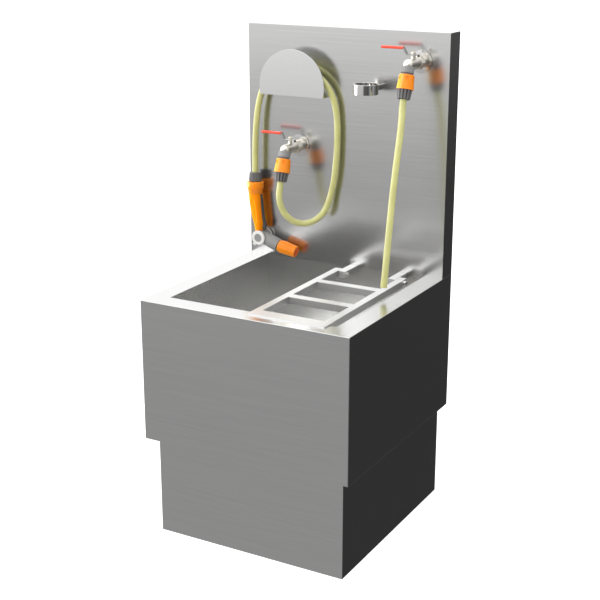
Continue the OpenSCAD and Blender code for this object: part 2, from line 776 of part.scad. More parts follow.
// Grate: two rails, two cross bars and the plate that lies on the front rim, one welded frame
module grate_frame() color("silver") translate([grate_x, 0, grate_z]) difference() {
    union() {
        for (x = [0, grate_w - rail_w]) translate([x, 0, 0]) rotate([90, 0, 90])
            linear_extrude(rail_w) polygon([
                [bowl_y + over, 0], [hinge_y + grate_end - end_slant, 0],
                [hinge_y + grate_end, rail_d], [bowl_y + over, rail_d]]);
        for (y = bar_backs()) box_at([0, y - bar_w, 0], [grate_w, y, rail_d]);
        box_at([0, plate_y, rail_d - grate_up], [grate_w, plate_back, rail_d]);
    }
    for (x = [0, grate_w - rail_w])
        box_at([x + grate_t, bowl_y + over + grate_t, -over],
            [x + rail_w - grate_t, hinge_y + grate_end - end_slant - grate_t, rail_d - grate_up]);
    for (y = bar_backs())
        box_at([rail_w, y - bar_w + grate_t, -over],
            [grate_w - rail_w, y - grate_t, rail_d - grate_up]);
    translate([-over, hinge_y, hinge_z - grate_z]) rotate([0, 90, 0])
        cylinder(r = hinge_r + run_gap, h = grate_w + 2 * over);
}

// Taps
module tap_rosettes() color("silver") for (tap = TAPS) at_tap(tap) rotate_extrude() polygon([
    [nipple_r, 0], [rosette_r, 0], [rosette_r, rosette_edge], [collar_r, rosette_t],
    [nipple_r, rosette_t]]);
module tap_union_nuts() color("silver") for (tap = TAPS) at_tap(tap)
    translate([0, 0, collar_out]) difference() {
        hex(union_af, union_l);
        translate([0, 0, -over]) cylinder(r = nipple_r, h = union_l + 2 * over);
    }
module tap_body(tap) color("lightgray") difference() {
    union() {
        difference() {
            at_tap(tap) rotate_extrude() polygon([
                [nipple_r, -tail_in], [nipple_r, rosette_t],
                [collar_r, rosette_t], [collar_r, collar_out], [nipple_r, collar_out],
                [nipple_r, union_out], [tap_r - shoulder, union_out],
                [tap_r, union_out + shoulder], [tap_r, union_out + swell_l],
                [neck_r, neck_out], each [for (a = [0:nose_step:90])
                    [neck_r * cos(a), corner_out + neck_r * sin(a)]], [0, -tail_in]]);
            at_connector(tap) cylinder(r = adapter_r + slide_gap, h = 2 * adapter_l);
        }
        at_stem(tap, 0) cylinder(r = column_r, h = column_top);
        at_connector(tap) translate([0, 0, -over]) cylinder(r = spout_r, h = spout_in + over);
    }
    at_connector(tap) translate([0, 0, -adapter_drop]) cylinder(r = nipple_bore, h = 2 * adapter_l);
    at_tap(tap) {
        translate([0, 0, -tail_in - over]) cylinder(r = water_r, h = corner_out + tail_in + over);
        translate([0, 0, stem_out - ball_room - seat_room])
            cylinder(r = ball_room, h = 2 * (ball_room + seat_room));
        translate([0, 0, stem_out]) rotate([-90, 0, 0])
            cylinder(r = stem_r + run_gap, h = column_top + over);
    }
}
module upper_tap_body() tap_body(upper_tap);
module lower_tap_body() tap_body(lower_tap);
module at_stem(tap, up) {
    at_tap(tap) translate([0, up, stem_out]) rotate([-90, 0, 0]) children();
}
module tap_gland_nuts() color("lightgray") for (tap = TAPS) at_stem(tap, column_top) difference() {
    hex(gland_af, gland_h);
    translate([0, 0, -over]) cylinder(r = stem_r + run_gap, h = gland_h + 2 * over);
}
module tap_seats() color("white") for (tap = TAPS, side = [0, 1]) at_tap(tap)
    translate([0, 0, stem_out]) mirror([0, 0, side]) difference() {
        translate([0, 0, ball_room + seat_room - seat_l]) ring(ball_room, seat_bore, seat_l);
        sphere(r = ball_r + seat_gap);
    }
module tap_ball(tap) color("silver") difference() {
    union() {
        at_stem(tap, 0) sphere(r = ball_r);
        at_stem(tap, 0)
            cylinder(r = stem_r, h = lever_up + lever_t + lever_nut_h + stem_over);
    }
    at_stem(tap, 0) rotate([0, 90, 0]) cylinder(r = water_r, h = 2 * ball_room, center = true);
}
module upper_tap_ball() tap_ball(upper_tap);
module lower_tap_ball() tap_ball(lower_tap);

// Levers, closed when they stand across the tap
module lever(tap) color("gainsboro") difference() {
    at_tap(tap) translate([0, 0, stem_out - lever_w / 2]) linear_extrude(lever_w) polygon([
        [lug_x, lever_up - lug_l], [lug_x, lever_up + lever_t],
        [-crank_x + lever_t / 2, lever_up + lever_t], [-crank_end + lever_t / 2, crank_up],
        [-lever_l + grip_tip, crank_up], [-lever_l + grip_tip, crank_up - lever_t],
        [-crank_end, crank_up - lever_t], [-crank_x, lever_up], [lug_x - lever_t, lever_up],
        [lug_x - lever_t, lever_up - lug_l]]);
    at_stem(tap, 0) cylinder(r = stem_r, h = crank_up);
}
module lever_sleeve(tap) color("red") difference() {
    at_tap(tap) translate([-lever_l, crank_up - lever_t / 2, stem_out]) rotate([0, 90, 0])
        linear_extrude(lever_l - crank_end) {
            for (side = [-1, 1]) translate([side * (lever_w / 2 + grip_side - grip_t / 2), 0])
                circle(r = grip_t / 2);
            square([lever_w + 2 * grip_side - grip_t, grip_t], center = true);
        }
    at_tap(tap) translate([-lever_l + grip_tip, crank_up - lever_t, stem_out - lever_w / 2])
        cube([lever_l, lever_t, lever_w]);
}
module lever_nut(tap) color("gainsboro") at_stem(tap, lever_up + lever_t) difference() {
    hex(lever_nut_af, lever_nut_h);
    translate([0, 0, -over]) cylinder(r = stem_r, h = lever_nut_h + 2 * over);
}
module upper_lever() lever(upper_tap);
module lower_lever() lever(lower_tap);
module upper_lever_sleeve() lever_sleeve(upper_tap);
module lower_lever_sleeve() lever_sleeve(lower_tap);
module upper_lever_nut() lever_nut(upper_tap);
module lower_lever_nut() lever_nut(lower_tap);

// Hose connectors
module hose_adapters() color("gray") for (tap = TAPS) at_connector(tap) difference() {
    union() {
        cylinder(r = adapter_r, h = adapter_l, $fn = 12);
        translate([0, 0, socket_l]) cylinder(r = nipple_out_r, h = nipple_len);
    }
    translate([0, 0, -over]) cylinder(r = spout_r, h = socket_l + over);
    translate([0, 0, -over]) cylinder(r = nipple_bore, h = socket_l + nipple_len + 2 * over);
}
module connector_cores() color("dimgray") for (tap = TAPS) at_connector(tap)
    translate([0, 0, core_in]) difference() {
        union() {
            cylinder(r = core_r, h = core_l);
            cylinder(r = core_barb_r, h = core_l + core_barb_l);
        }
        translate([0, 0, -over]) cylinder(r = core_bore, h = core_depth + over);
        translate([0, 0, -over]) cylinder(r = nipple_bore - over, h = core_l + core_barb_l + 2 * over);
    }
module connector_seals() color("black") for (tap = TAPS) at_connector(tap)
    translate([0, 0, seal_in]) ring(core_bore, nipple_out_r, seal_l);
module connector_sleeve(tap) color("orange") at_connector(tap) translate([0, 0, sleeve_in])
    difference() {
        cylinder(r1 = sleeve_top_r, r2 = sleeve_r, h = sleeve_l);
        translate([0, 0, -over]) cylinder(r = sleeve_bore, h = sleeve_l + 2 * over);
        translate([0, 0, sleeve_l - skirt_l])
            cylinder(r = nut_top_r + slide_gap, h = skirt_l + over);
        for (k = [0:windows - 1]) rotate(360 * k / windows)
            translate([sleeve_top_r - window_depth, -window_w / 2, window_drop])
                cube([sleeve_r, window_w, window_l]);
    }
module upper_connector_sleeve() connector_sleeve(upper_tap);
module lower_connector_sleeve() connector_sleeve(lower_tap);
module fluted(r_top, r_end, h, bore) {
    difference() {
        cylinder(r1 = r_top, r2 = r_end, h = h);
        translate([0, 0, -over]) cylinder(r = bore, h = h + 2 * over);
        for (k = [0:nut_ribs - 1]) rotate(360 * k / nut_ribs)
            translate([r_top - rib_depth, -rib_w / 2, -over])
                rotate([0, -atan((r_top - r_end) / h), 0])
                    cube([2 * rib_depth, rib_w, h + 3 * over]);
    }
}
module connector_nuts() color("dimgray") for (tap = TAPS) at_connector(tap)
    translate([0, 0, nut_in]) fluted(nut_top_r, nut_end_r, nut_l, core_barb_r);

// Hoses
module gun_hose() color("khaki") on_splash() tube(gun_route, hose_r);
module fill_hose() color("khaki") on_splash() tube(fill_route, hose_r);

// Spray gun
module gun_nut() color("dimgray") at_gun() translate([0, 0, -gun_nut_l])
    fluted(gun_nut_r, gun_nut_top_r, gun_nut_l, gun_nut_bore);
module gun_collar() color("orange") at_gun() rotate_extrude() polygon([
    [spigot_fit, -gun_nut_l - collar_gap], [collar_top_r - collar_chamfer, -gun_nut_l - collar_gap],
    [collar_top_r, -gun_nut_l - collar_gap - collar_chamfer], [collar_ridge_r, -gun_nut_l - ridge_l],
    [collar_ridge_r - collar_chamfer, -gun_nut_l - ridge_l - collar_chamfer],
    [collar_end_r, -handle_top], [spigot_fit, -handle_top]]);
function handle_ring(row) = [for (k = [0:handle_sides - 1])
    let (a = 360 * k / handle_sides, c = cos(a), s = sin(a), n = corner_share)
    [grip_width * (row[1] + row[2] * sign(c) * pow(abs(c), n)),
        grip_depth * row[3] * sign(s) * pow(abs(s), n), -handle_top - handle_l * row[0]]];
module handle_body() {
    last = len(handle_shares) - 1;
    rows = concat([for (i = [0:last - 1], t = [0, 1 / 3, 2 / 3]) curve(handle_shares, i, t)],
        [handle_shares[last]]);
    polyhedron([for (row = rows) each handle_ring(row)], skin(len(rows), handle_sides));
}
function trigger_edge(shift) = [for (p = trigger_shares)
    [grip_width * p[0] + shift, -handle_top - handle_l * p[1]]];
function backwards(p) = [for (i = [len(p) - 1:-1:0]) p[i]];
module trigger_band(near, far, w) {
    translate([0, w / 2, 0]) rotate([90, 0, 0]) linear_extrude(w)
        polygon(concat(trigger_edge(far), backwards(trigger_edge(near))));
}
module trigger_pin_at(r, l) {
    translate([pin_x, l / 2, -handle_top - pin_down]) rotate([90, 0, 0]) cylinder(r = r, h = l);
}
module gun_handle() color("orange") at_gun() difference() {
    union() {
        handle_body();
        translate([0, 0, -handle_top - handle_fit])
            cylinder(r = spigot_fit - run_gap, h = handle_top - gun_nut_l + handle_fit);
    }
    for (drop = [0, slot_drop]) translate([0, 0, -drop])
        trigger_band(-trigger_t - trigger_room, grip_width, trigger_slot);
    translate([grip_width / 2, -trigger_slot / 2, -handle_top - trigger_t])
        cube([grip_width, trigger_slot, trigger_t - slot_roof]);
    trigger_pin_at(pin_r, pin_l);
    translate([head_x, head_t, head_z]) rotate([90, 0, 0])
        cylinder(r = head_r + run_gap, h = 2 * head_t);
    translate([0, 0, -handle_top - handle_fit - over])
        cylinder(r = gun_nut_bore, h = handle_top + handle_fit);
}
module gun_trigger() color("slategray") at_gun() difference() {
    trigger_band(-trigger_t, 0, trigger_w);
    trigger_pin_at(pin_r + run_gap, 2 * pin_l);
}
module trigger_pin() color("silver") at_gun() trigger_pin_at(pin_r, pin_l);
module at_head() {
    at_gun() translate([head_x, 0, head_z]) children();
}
module at_nozzle() {
    at_gun() translate([nozzle_x, 0, nozzle_z]) rotate([0, 90 + nozzle_turn, 0]) children();
}
module gun_barrel() color("gray") difference() {
    union() {
        at_head() {
            translate([0, head_t / 2, 0]) rotate([90, 0, 0]) cylinder(r = head_r, h = head_t);
            translate([0, head_t / 2 + hub_over, 0]) rotate([90, 0, 0])
                cylinder(r = hub_r, h = head_t + 2 * hub_over);
            rotate([0, 90 + barrel_turn, 0]) cylinder(r = barrel_r, h = barrel_l);
        }
        at_nozzle() translate([0, 0, -nozzle_neck]) cylinder(r = nozzle_socket_r - slide_gap,
            h = nozzle_neck + nozzle_gap + nozzle_socket_l - slide_gap);
    }
    at_head() rotate([0, 90 + barrel_turn, 0]) translate([0, 0, valve_in])
        cylinder(r = barrel_bore, h = valve_l);
    at_nozzle() translate([0, 0, -nozzle_neck - over]) cylinder(r = jet_r,
        h = nozzle_neck + nozzle_gap + nozzle_socket_l + 2 * over);
}
module gun_valve() color("white") at_head() rotate([0, 90 + barrel_turn, 0])
    translate([0, 0, valve_in]) {
        cylinder(r = barrel_bore, h = valve_l / 3);
        cylinder(r = valve_r, h = valve_l - over);
    }
module gun_dial() color("white") at_head() for (side = [0, 1]) mirror([0, side, 0])
    translate([0, -head_t / 2, 0]) rotate([90, 0, 0]) {
        difference() {
            union() {
                cylinder(r = dial_r, h = dial_t - dial_edge);
                translate([0, 0, dial_t - dial_edge])
                    cylinder(r1 = dial_r, r2 = dial_r - dial_edge, h = dial_edge);
                rotate(pointer_turn) translate([0, -pointer_w / 2, 0])
                    cube([dial_r + pointer_l, pointer_w, dial_t / 2]);
            }
            translate([0, 0, -over]) cylinder(r = hub_r + slide_gap, h = dial_t + 2 * over);
        }
    }
module gun_nozzle() color("orange") at_nozzle() translate([0, 0, nozzle_gap]) difference() {
    union() {
        cylinder(r1 = nozzle_big_r, r2 = nozzle_end_r, h = nozzle_l);
        for (k = [0:nozzle_ribs - 1]) rotate(360 * k / nozzle_ribs)
            translate([nozzle_big_r - nozzle_rib_h, -nozzle_rib_w / 2, 0])
                rotate([0, -atan((nozzle_big_r - nozzle_end_r) / nozzle_l), 0])
                    cube([2 * nozzle_rib_h, nozzle_rib_w, nozzle_l - 2 * over]);
    }
    translate([0, 0, -over]) cylinder(r = nozzle_socket_r, h = nozzle_socket_l + over);
    cylinder(r = jet_r, h = nozzle_l + over);
    translate([0, 0, nozzle_l - face_t]) cylinder(r = face_r, h = face_t + over);
}
module nozzle_face() color("orangered") at_nozzle()
    translate([0, 0, nozzle_gap + nozzle_l - face_t]) difference() {
        cylinder(r = face_r, h = face_t - face_inset);
        for (k = [0:face_holes - 1]) rotate(360 * k / face_holes)
            translate([face_ring_r, 0, -over]) cylinder(r = face_hole_r, h = face_t + 2 * over);
    }

casing_shell();
rim_sheet();
bowl();
base_plate();
plinth_shell();
floor_brackets();
plinth_bolts();
splash_panel();
rear_cover();
cover_screws();
waste_flange();
waste_gasket();
waste_locknut();
waste_strainer();
trap_body();
trap_cup();
trap_nuts();
outlet_pipe();
outlet_grommet();
supply_pipes();
supply_elbows();
hanger_plate();
hanger_saddle();
splash_screws();
holder_ring();
hinge_brackets();
hinge_fasteners();
grate_frame();
tap_rosettes();
tap_union_nuts();
upper_tap_body();
lower_tap_body();
tap_gland_nuts();
tap_seats();
upper_tap_ball();
lower_tap_ball();
upper_lever();
lower_lever();
upper_lever_sleeve();
lower_lever_sleeve();
upper_lever_nut();
lower_lever_nut();
hose_adapters();
connector_cores();
connector_seals();
upper_connector_sleeve();
lower_connector_sleeve();
connector_nuts();
gun_hose();
fill_hose();
gun_nut();
gun_collar();
gun_handle();
gun_trigger();
trigger_pin();
gun_barrel();
gun_valve();
gun_dial();
gun_nozzle();
nozzle_face();
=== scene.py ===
import json
import math

import bmesh
import bpy
from bpy.props import FloatProperty, FloatVectorProperty, IntProperty, PointerProperty
from mathutils import Matrix, Vector


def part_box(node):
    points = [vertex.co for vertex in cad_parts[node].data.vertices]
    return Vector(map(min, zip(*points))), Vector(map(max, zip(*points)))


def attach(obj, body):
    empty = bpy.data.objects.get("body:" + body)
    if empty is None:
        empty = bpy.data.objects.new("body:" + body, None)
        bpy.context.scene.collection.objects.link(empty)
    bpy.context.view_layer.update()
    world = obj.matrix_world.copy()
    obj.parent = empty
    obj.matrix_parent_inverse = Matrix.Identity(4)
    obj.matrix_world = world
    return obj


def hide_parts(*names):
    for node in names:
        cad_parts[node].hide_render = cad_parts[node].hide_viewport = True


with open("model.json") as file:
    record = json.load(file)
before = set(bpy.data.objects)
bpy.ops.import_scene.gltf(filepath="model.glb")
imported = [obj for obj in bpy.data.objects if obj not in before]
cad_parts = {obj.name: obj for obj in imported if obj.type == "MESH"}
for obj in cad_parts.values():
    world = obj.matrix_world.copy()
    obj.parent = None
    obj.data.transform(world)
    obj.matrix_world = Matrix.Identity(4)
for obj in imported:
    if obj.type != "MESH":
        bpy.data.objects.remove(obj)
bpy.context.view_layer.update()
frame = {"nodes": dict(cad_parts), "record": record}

bl_info = {
    "name": "Waste Disposal Sink",
    "version": (1, 0, 0),
    "blender": (4, 5, 0),
    "location": "View3D > Sidebar > Sink",
    "description": "Dresses the packed waste disposal sink and sets its stage",
    "category": "Object",
}

SLOT_OF = {part["node"]: part["material_slot"] for part in frame["record"]["subparts"]}
BODIES = frame["record"]["behaviour"]["bodies"]
BODY_OF = {node: body for body, nodes in BODIES.items() for node in nodes}
MM = 0.001

# Places in millimetres: the splash panel's front, the rim, and each tap's x and height above the rim
SPLASH_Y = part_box("splash_panel")[0].y / MM
RIM_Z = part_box("rim_sheet")[1].z / MM
UPPER_TAP = (185, 479.4)
LOWER_TAP = (-115, 271.8)

# The connectors: how they lean, where they start from a tap, their length and the hose's straight end
LEAN = math.radians(16.3)
ADAPTER_OUT = 70.3
ADAPTER_DROP = 4.2
CONNECTOR_L = 68.8
HOSE_END = 14.5

# Routes of the hoses: x, depth from the splash panel and height above the rim
GUN_ROUTE = [
    (-114.5, -97, 169), (-110.5, -96.5, 147), (-100, -90, 124.5), (-84.5, -77, 109),
    (-67.5, -60.5, 104), (-51.5, -43, 109.5), (-37.5, -27.5, 126.5), (-28, -18, 154.5),
    (-18.5, -15.5, 196), (-13.5, -15, 236), (-11, -13.5, 282), (-11.5, -13, 332.5),
    (-16.5, -14.5, 371.5), (-25.5, -17, 398), (-37.5, -18.5, 416.5), (-53, -19, 431),
    (-72, -19, 442.5), (-92, -19, 450), (-115, -19, 453), (-138, -19, 450), (-158, -19, 442.5),
    (-178, -19, 429), (-191, -20, 415), (-203, -20.5, 393), (-212, -21.5, 362), (-218, -22.5, 320),
    (-221, -23.5, 270), (-222, -23.5, 217), (-222, -23.5, 202),
]
FILL_ROUTE = [
    (187.5, -101, 373), (188.5, -107, 351), (189, -113, 328), (189, -120, 302), (189, -127, 275),
    (189, -134, 246), (189, -141, 216), (189.5, -148, 184), (190, -155, 151), (190.5, -162, 118),
    (191, -169, 85), (191.5, -176, 51), (191.5, -182, 21),
]

# Steps of a hose's path: in each straight end and in each stretch between two points
END_STEPS = 3
CURVE_STEPS = 6

# The spray gun: its own places in millimetres from the end of its hose
GUN_AT = GUN_ROUTE[-1]
HANDLE_TOP = 50
HANDLE_L = 94
GRIP_WIDTH = 16
GRIP_DEPTH = 15
HEAD = (16.8, -154)
SHAFT_R = 16.1
SHAFT_HALF = 30
BARREL_L = 49
BARREL_SLOPE = math.radians(20)
NOZZLE_TURN = math.radians(102)
NOZZLE_START = 2.4
TRIGGER_SLOT = 10
SLOT_DEPTH = 14.5

# The grip from its top to its foot: share of its length, middle, half width and half depth
HANDLE_SHARES = [
    (0, 0.02, 1, 1), (0.15, 0.07, 1, 0.98), (0.3, 0.17, 0.95, 1), (0.45, 0.3, 0.92, 1.02),
    (0.6, 0.45, 0.85, 1.02), (0.73, 0.64, 0.77, 1), (0.87, 0.72, 0.65, 0.98), (1, 0.76, 0.56, 0.92),
]

# The trigger slot's front edge, as shares of the grip's width and length
TRIGGER_SHARES = [(0.99, 0.01), (1.24, 0.35), (1.32, 0.5), (1.48, 0.65), (1.76, 0.8), (1.62, 0.94)]

# The grip's loft: sides and steps, how square its oval is, and the dish on each flank in shares
GRIP_SIDES, GRIP_STEPS = 96, 12
GRIP_OVAL = 0.8
DISH_ASIDE, DISH_DOWN = 0.14, 0.44
DISH_WIDE, DISH_LONG = 0.52, 0.34
DISH_DEPTH, DISH_EDGE, DISH_FLANK = 0.085, 2.2, 0.3

# Turned pieces: closed outlines of (radius, height) in millimetres along their own axis
FINE_SIDES = 96
CONNECTOR_NUT = [
    (4.6, 43.6), (15, 43.6), (15.6, 44.2), (15.6, 47.4), (14.6, 48), (11.4, 68), (10.6, 68.8),
    (4.6, 68.8),
]
GUN_NUT = [(6.2, -21), (14.2, -21), (14.8, -20.4), (13, -0.6), (12.4, 0), (6.2, 0)]
GUN_COLLAR = [
    (12, -22), (18.6, -22), (19.4, -22.5), (20, -23.5), (19.1, -39.6), (18.6, -40.6), (17.8, -41.3),
    (17, -49.4), (16.4, -50), (12, -50),
]
GUN_NOZZLE = [
    (9, 0), (14.2, 0), (14.9, 0.8), (12.5, 45.2), (11.8, 46), (10.5, 46), (10.5, 43.5), (2.5, 43.5),
    (2.5, 14), (9, 14),
]

# Ribs on them: radius at the start and at the end, start, length, width and height in millimetres
CONNECTOR_RIBS = (14.7, 12.1, 46.9, 21.5, 4.9, 1.35)
GUN_NUT_RIBS = (14.8, 13, -20.3, 19.2, 5.0, 0.95)
# the collar's dashes stand a quarter millimetre proud, and their darker red-orange is painted shade of
# small notches
COLLAR_NOTCH_SHADES = (19.2, 19.15, -37.9, 0.9, 4.6, 0.25)
NOZZLE_RIBS = (14.9, 12.7, 6, 38.4, 3.0, 0.8)
# painted shade: small dark grey patches stand in for the shade inside the nozzle's small holes
NOZZLE_HOLE_SHADES = (14.75, 14.65, 2.6, 2.0, 2.0, 0.15)
NOTCH_SHADE_COUNT = 14
HOLE_SHADE_COUNT = 6

# Dressing the CAD's meshes: what is welded, what is flat, what is a sharp edge and what shades smooth
WELD = 2e-6
FLAT = math.radians(0.4)
SHARP = math.radians(35)
SMOOTH = 40

# How near to the rim, to a side and to the rim's own face an edge counts as lying there, in metres
NEAR_RIM, NEAR_SIDE, NEAR_FACE = 0.003, 0.004, 0.0025

# The photograph's camera: lens and sensor in millimetres, place in metres, turn in degrees
LENS, SENSOR, FAR = 75.18, 36, 100
EYE = (1.2871, -2.3002, 1.3453)
EYE_TURN = (72.493, 0, 29.277)

# The floor: radius and drop in metres, sides, its shade and its glow
FLOOR_R, FLOOR_DROP, FLOOR_SIDES = 40, 0.0005, 96
FLOOR_SHADE, FLOOR_GLOW = 0.8, 0.62

# The room that the steel mirrors: level below the horizon, and where and how softly the sky begins
GROUND = 0.40
HORIZON = (-0.22, 0.25)

# Dark patches of the room: direction, start, softness and how much of the light they take
DARK_PATCHES = [
    ((0.5, 0.85, -0.2), 0.62, 0.3, 0.9),
    ((0.9, -0.1, 0.1), 0.5, 0.5, 0.45),
    ((0.49, -0.86, -0.12), 0.83, 0.13, 0.82),
]

# The bright panel at the left: direction, start and softness
LEFT_PANEL = ((-0.95, -0.18, -0.1), 0.94, 0.05)

# The lamps' size and place, and the place that they shine at, in metres
KEY_LAMP = (1.6, (-1.9, -1.9, 2.3))
TOP_LAMP = (1.4, (-0.2, 0.2, 2.8))
LAMP_AIM = (0, 0, 0.6)


# Settings that a user may change
class SinkSizes(bpy.types.PropertyGroup):
    fold: FloatProperty(name="Fold radius", description="Rounding of the folded sheet's edges",
                        default=0.0009, min=0.0002, max=0.003, unit="LENGTH", precision=4)
    edge: FloatProperty(name="Edge radius", description="Rounding of small machined edges",
                        default=0.0004, min=0.0001, max=0.001, unit="LENGTH", precision=4)
    hose_radius: FloatProperty(name="Hose radius", description="Outer radius of both hoses",
                               default=0.00725, min=0.007, max=0.0075, unit="LENGTH", precision=5)
    hose_sides: IntProperty(name="Hose sides", description="Sides of the hoses' tubes",
                            default=24, min=12, max=48)
    nut_ribs: IntProperty(name="Nut ribs", description="Ribs round each hose nut",
                          default=12, min=6, max=24)
    nozzle_ribs: IntProperty(name="Nozzle ribs", description="Ribs round the gun's nozzle",
                             default=12, min=6, max=32)


def colour(name, description, value):
    return FloatVectorProperty(name=name, description=description, default=value, size=3,
                               min=0, max=1, subtype="COLOR")


class SinkColours(bpy.types.PropertyGroup):
    steel: colour("Steel", "Brushed sheet of the cabinet and the splash panel", (0.63, 0.63, 0.625))
    bowl: colour("Bowl steel", "Inside of the bowl", (0.67, 0.67, 0.66))
    bright: colour("Bright steel", "Satin steel of the grate, the hanger and the strainer",
                   (0.74, 0.74, 0.735))
    polished: colour("Polished steel", "The holder ring and the taps' rosettes", (0.72, 0.71, 0.70))
    nickel: colour("Nickel", "Plating of the taps", (0.90, 0.87, 0.79))
    red: colour("Lever red", "Dipped vinyl on the levers", (0.83, 0.055, 0.018))
    orange: colour("Orange", "Moulded orange plastic", (0.93, 0.26, 0.001))
    # painted highlight: this amber stands in for the lamp's light on the orange plastic's left,
    # lamp-facing side
    painted_lit_orange: colour("Amber", "Orange plastic where it faces the lamp", (1.0, 0.60, 0.01))
    face: colour("Red orange", "End face of the nozzle", (0.78, 0.11, 0.008))
    hose: colour("Hose", "Yellow-green hose", (0.57, 0.56, 0.215))
    pale: colour("Pale grey", "The connectors' adapters", (0.245, 0.245, 0.245))
    grey: colour("Grey", "Grey moulded plastic", (0.26, 0.26, 0.255))
    dark: colour("Dark grey", "Dark grey moulded plastic", (0.135, 0.13, 0.13))
    slate: colour("Slate", "The gun's trigger", (0.07, 0.078, 0.08))
    white: colour("White", "White moulded plastic", (0.74, 0.73, 0.70))


class SinkLight(bpy.types.PropertyGroup):
    sky: FloatProperty(name="Sky", description="Level of the studio's light from above",
                       default=1.40, min=0, max=3)
    left: FloatProperty(name="Left panel", description="Level of the bright panel at the left",
                        default=5.0, min=0, max=20)
    key: FloatProperty(name="Key lamp", description="Power of the large lamp at the left",
                       default=26, min=0, max=500, unit="POWER")
    top: FloatProperty(name="Top lamp", description="Power of the lamp overhead",
                       default=9, min=0, max=500, unit="POWER")


# Shader maths
class Value:
    """A shader socket that takes part in Python expressions."""

    def __init__(self, finish, socket):
        self.finish, self.socket = finish, socket

    def maths(self, operation, *others):
        return self.finish.node("ShaderNodeMath", {"operation": operation}, (self, *others))

    def __add__(self, other):
        return self.maths("ADD", other)

    def __mul__(self, other):
        return self.maths("MULTIPLY", other)

    def __sub__(self, other):
        return self.maths("SUBTRACT", other)

    def __rsub__(self, other):
        return self.finish.node("ShaderNodeMath", {"operation": "SUBTRACT"}, (other, self))

    def __abs__(self):
        return self.maths("ABSOLUTE")

    __radd__, __rmul__ = __add__, __mul__

    def above(self, edge, soft):
        """0 below edge and 1 above edge + soft, with a smooth step between."""
        return self.finish.node("ShaderNodeMapRange", {"interpolation_type": "SMOOTHSTEP"},
                                (self, edge, edge + soft, 0.0, 1.0))


class Finish:
    """The nodes of one material or world."""

    def __init__(self, tree):
        self.tree = tree
        tree.nodes.clear()

    def node(self, kind, settings=None, inputs=(), output=0):
        made = self.tree.nodes.new(kind)
        for name, value in (settings or {}).items():
            setattr(made, name, value)
        for name, value in (inputs.items() if isinstance(inputs, dict) else enumerate(inputs)):
            if isinstance(value, Value):
                self.tree.links.new(value.socket, made.inputs[name])
            elif value is not None:
                made.inputs[name].default_value = value
        return Value(self, made.outputs[output]) if made.outputs else None

    def object_place(self):
        return self.node("ShaderNodeTexCoord", output=3)

    def normal(self):
        return self.node("ShaderNodeTexCoord", output=1)

    def parts(self, vector):
        split = self.node("ShaderNodeSeparateXYZ", inputs=(vector,))
        return [Value(self, out) for out in split.socket.node.outputs]

    def stretched(self, vector, scale):
        return self.node("ShaderNodeMapping", inputs={"Vector": vector, "Scale": scale})

    def noise(self, vector, scale, detail=3.0, roughness=0.5):
        return self.node("ShaderNodeTexNoise", inputs={
            "Vector": vector, "Scale": scale, "Detail": detail, "Roughness": roughness})

    def mix(self, share, first, second):
        """A colour between two colours."""
        return self.node("ShaderNodeMix", {"data_type": "RGBA"},
                         {0: share, 6: first, 7: second}, output=2)

    def between(self, share, first, second):
        """A number between two numbers."""
        return self.node("ShaderNodeMix", {"data_type": "FLOAT"}, {0: share, 2: first, 3: second})

    def bump(self, height, distance, strength=1.0):
        return self.node("ShaderNodeBump", inputs={
            "Strength": strength, "Distance": distance, "Height": height})

    def surface(self, **sockets):
        shader = self.node("ShaderNodeBsdfPrincipled",
                           inputs={name.replace("_", " "): value for name, value in sockets.items()})
        self.node("ShaderNodeOutputMaterial", inputs={"Surface": shader})


def rgba(shade, level=1.0):
    return (*(min(1.0, part * level) for part in shade), 1.0)


def new_material(name):
    made = bpy.data.materials.new(name)
    made.use_nodes = True
    return made, Finish(made.node_tree)


def brushed(name, shade, rough, streak=1.0, grain=1000.0):
    """Sheet brushed level: fine long scratches that show in its gloss, with faint clouds."""
    made, f = new_material(name)
    place, facing = f.object_place(), f.parts(f.normal())
    along_x = f.noise(f.stretched(place, (6.0, grain, grain)), 1.0, 3.0, 0.6)
    along_y = f.noise(f.stretched(place, (grain, 6.0, grain)), 1.0, 3.0, 0.6)
    sideways = abs(facing[0]).above(0.45, 0.2)
    fine = f.between(sideways, along_x, along_y)
    cloud = f.noise(place, 4.0, 2.0)
    f.surface(
        Base_Color=f.mix(fine.above(0.3, 0.4), rgba(shade, 1 - 0.03 * streak),
                         rgba(shade, 1 + 0.03 * streak)),
        Metallic=1.0,
        Roughness=rough + (fine - 0.5) * (0.07 * streak) + (cloud - 0.5) * 0.03,
        Normal=f.bump(fine, 0.00002 * streak, 0.5),
    )
    return made


def satin(name, shade, rough, grain=900.0, clouds=0.10, edge=None):
    """Fine satin metal without a clear direction.

    With edge, faces that don't look forward or back take that colour: a painted dark reflection on the
    sideways faces.
    """
    made, f = new_material(name)
    place = f.object_place()
    fine = f.noise(place, grain, 3.0)
    cloud = f.noise(place, 18.0, 3.0)
    tint = f.mix((fine * 0.4 + cloud * 0.6).above(0.3, 0.4), rgba(shade, 0.95), rgba(shade, 1.04))
    # painted reflection: sideways faces are darkened to the edge colour
    if edge:
        tint = f.mix(abs(f.parts(f.normal())[1]).above(0.5, 0.3), rgba(edge), tint)
    f.surface(
        Base_Color=tint,
        Metallic=1.0,
        Roughness=rough + (cloud - 0.5) * clouds,
        Normal=f.bump(fine, 0.00004, 0.2),
    )
    return made


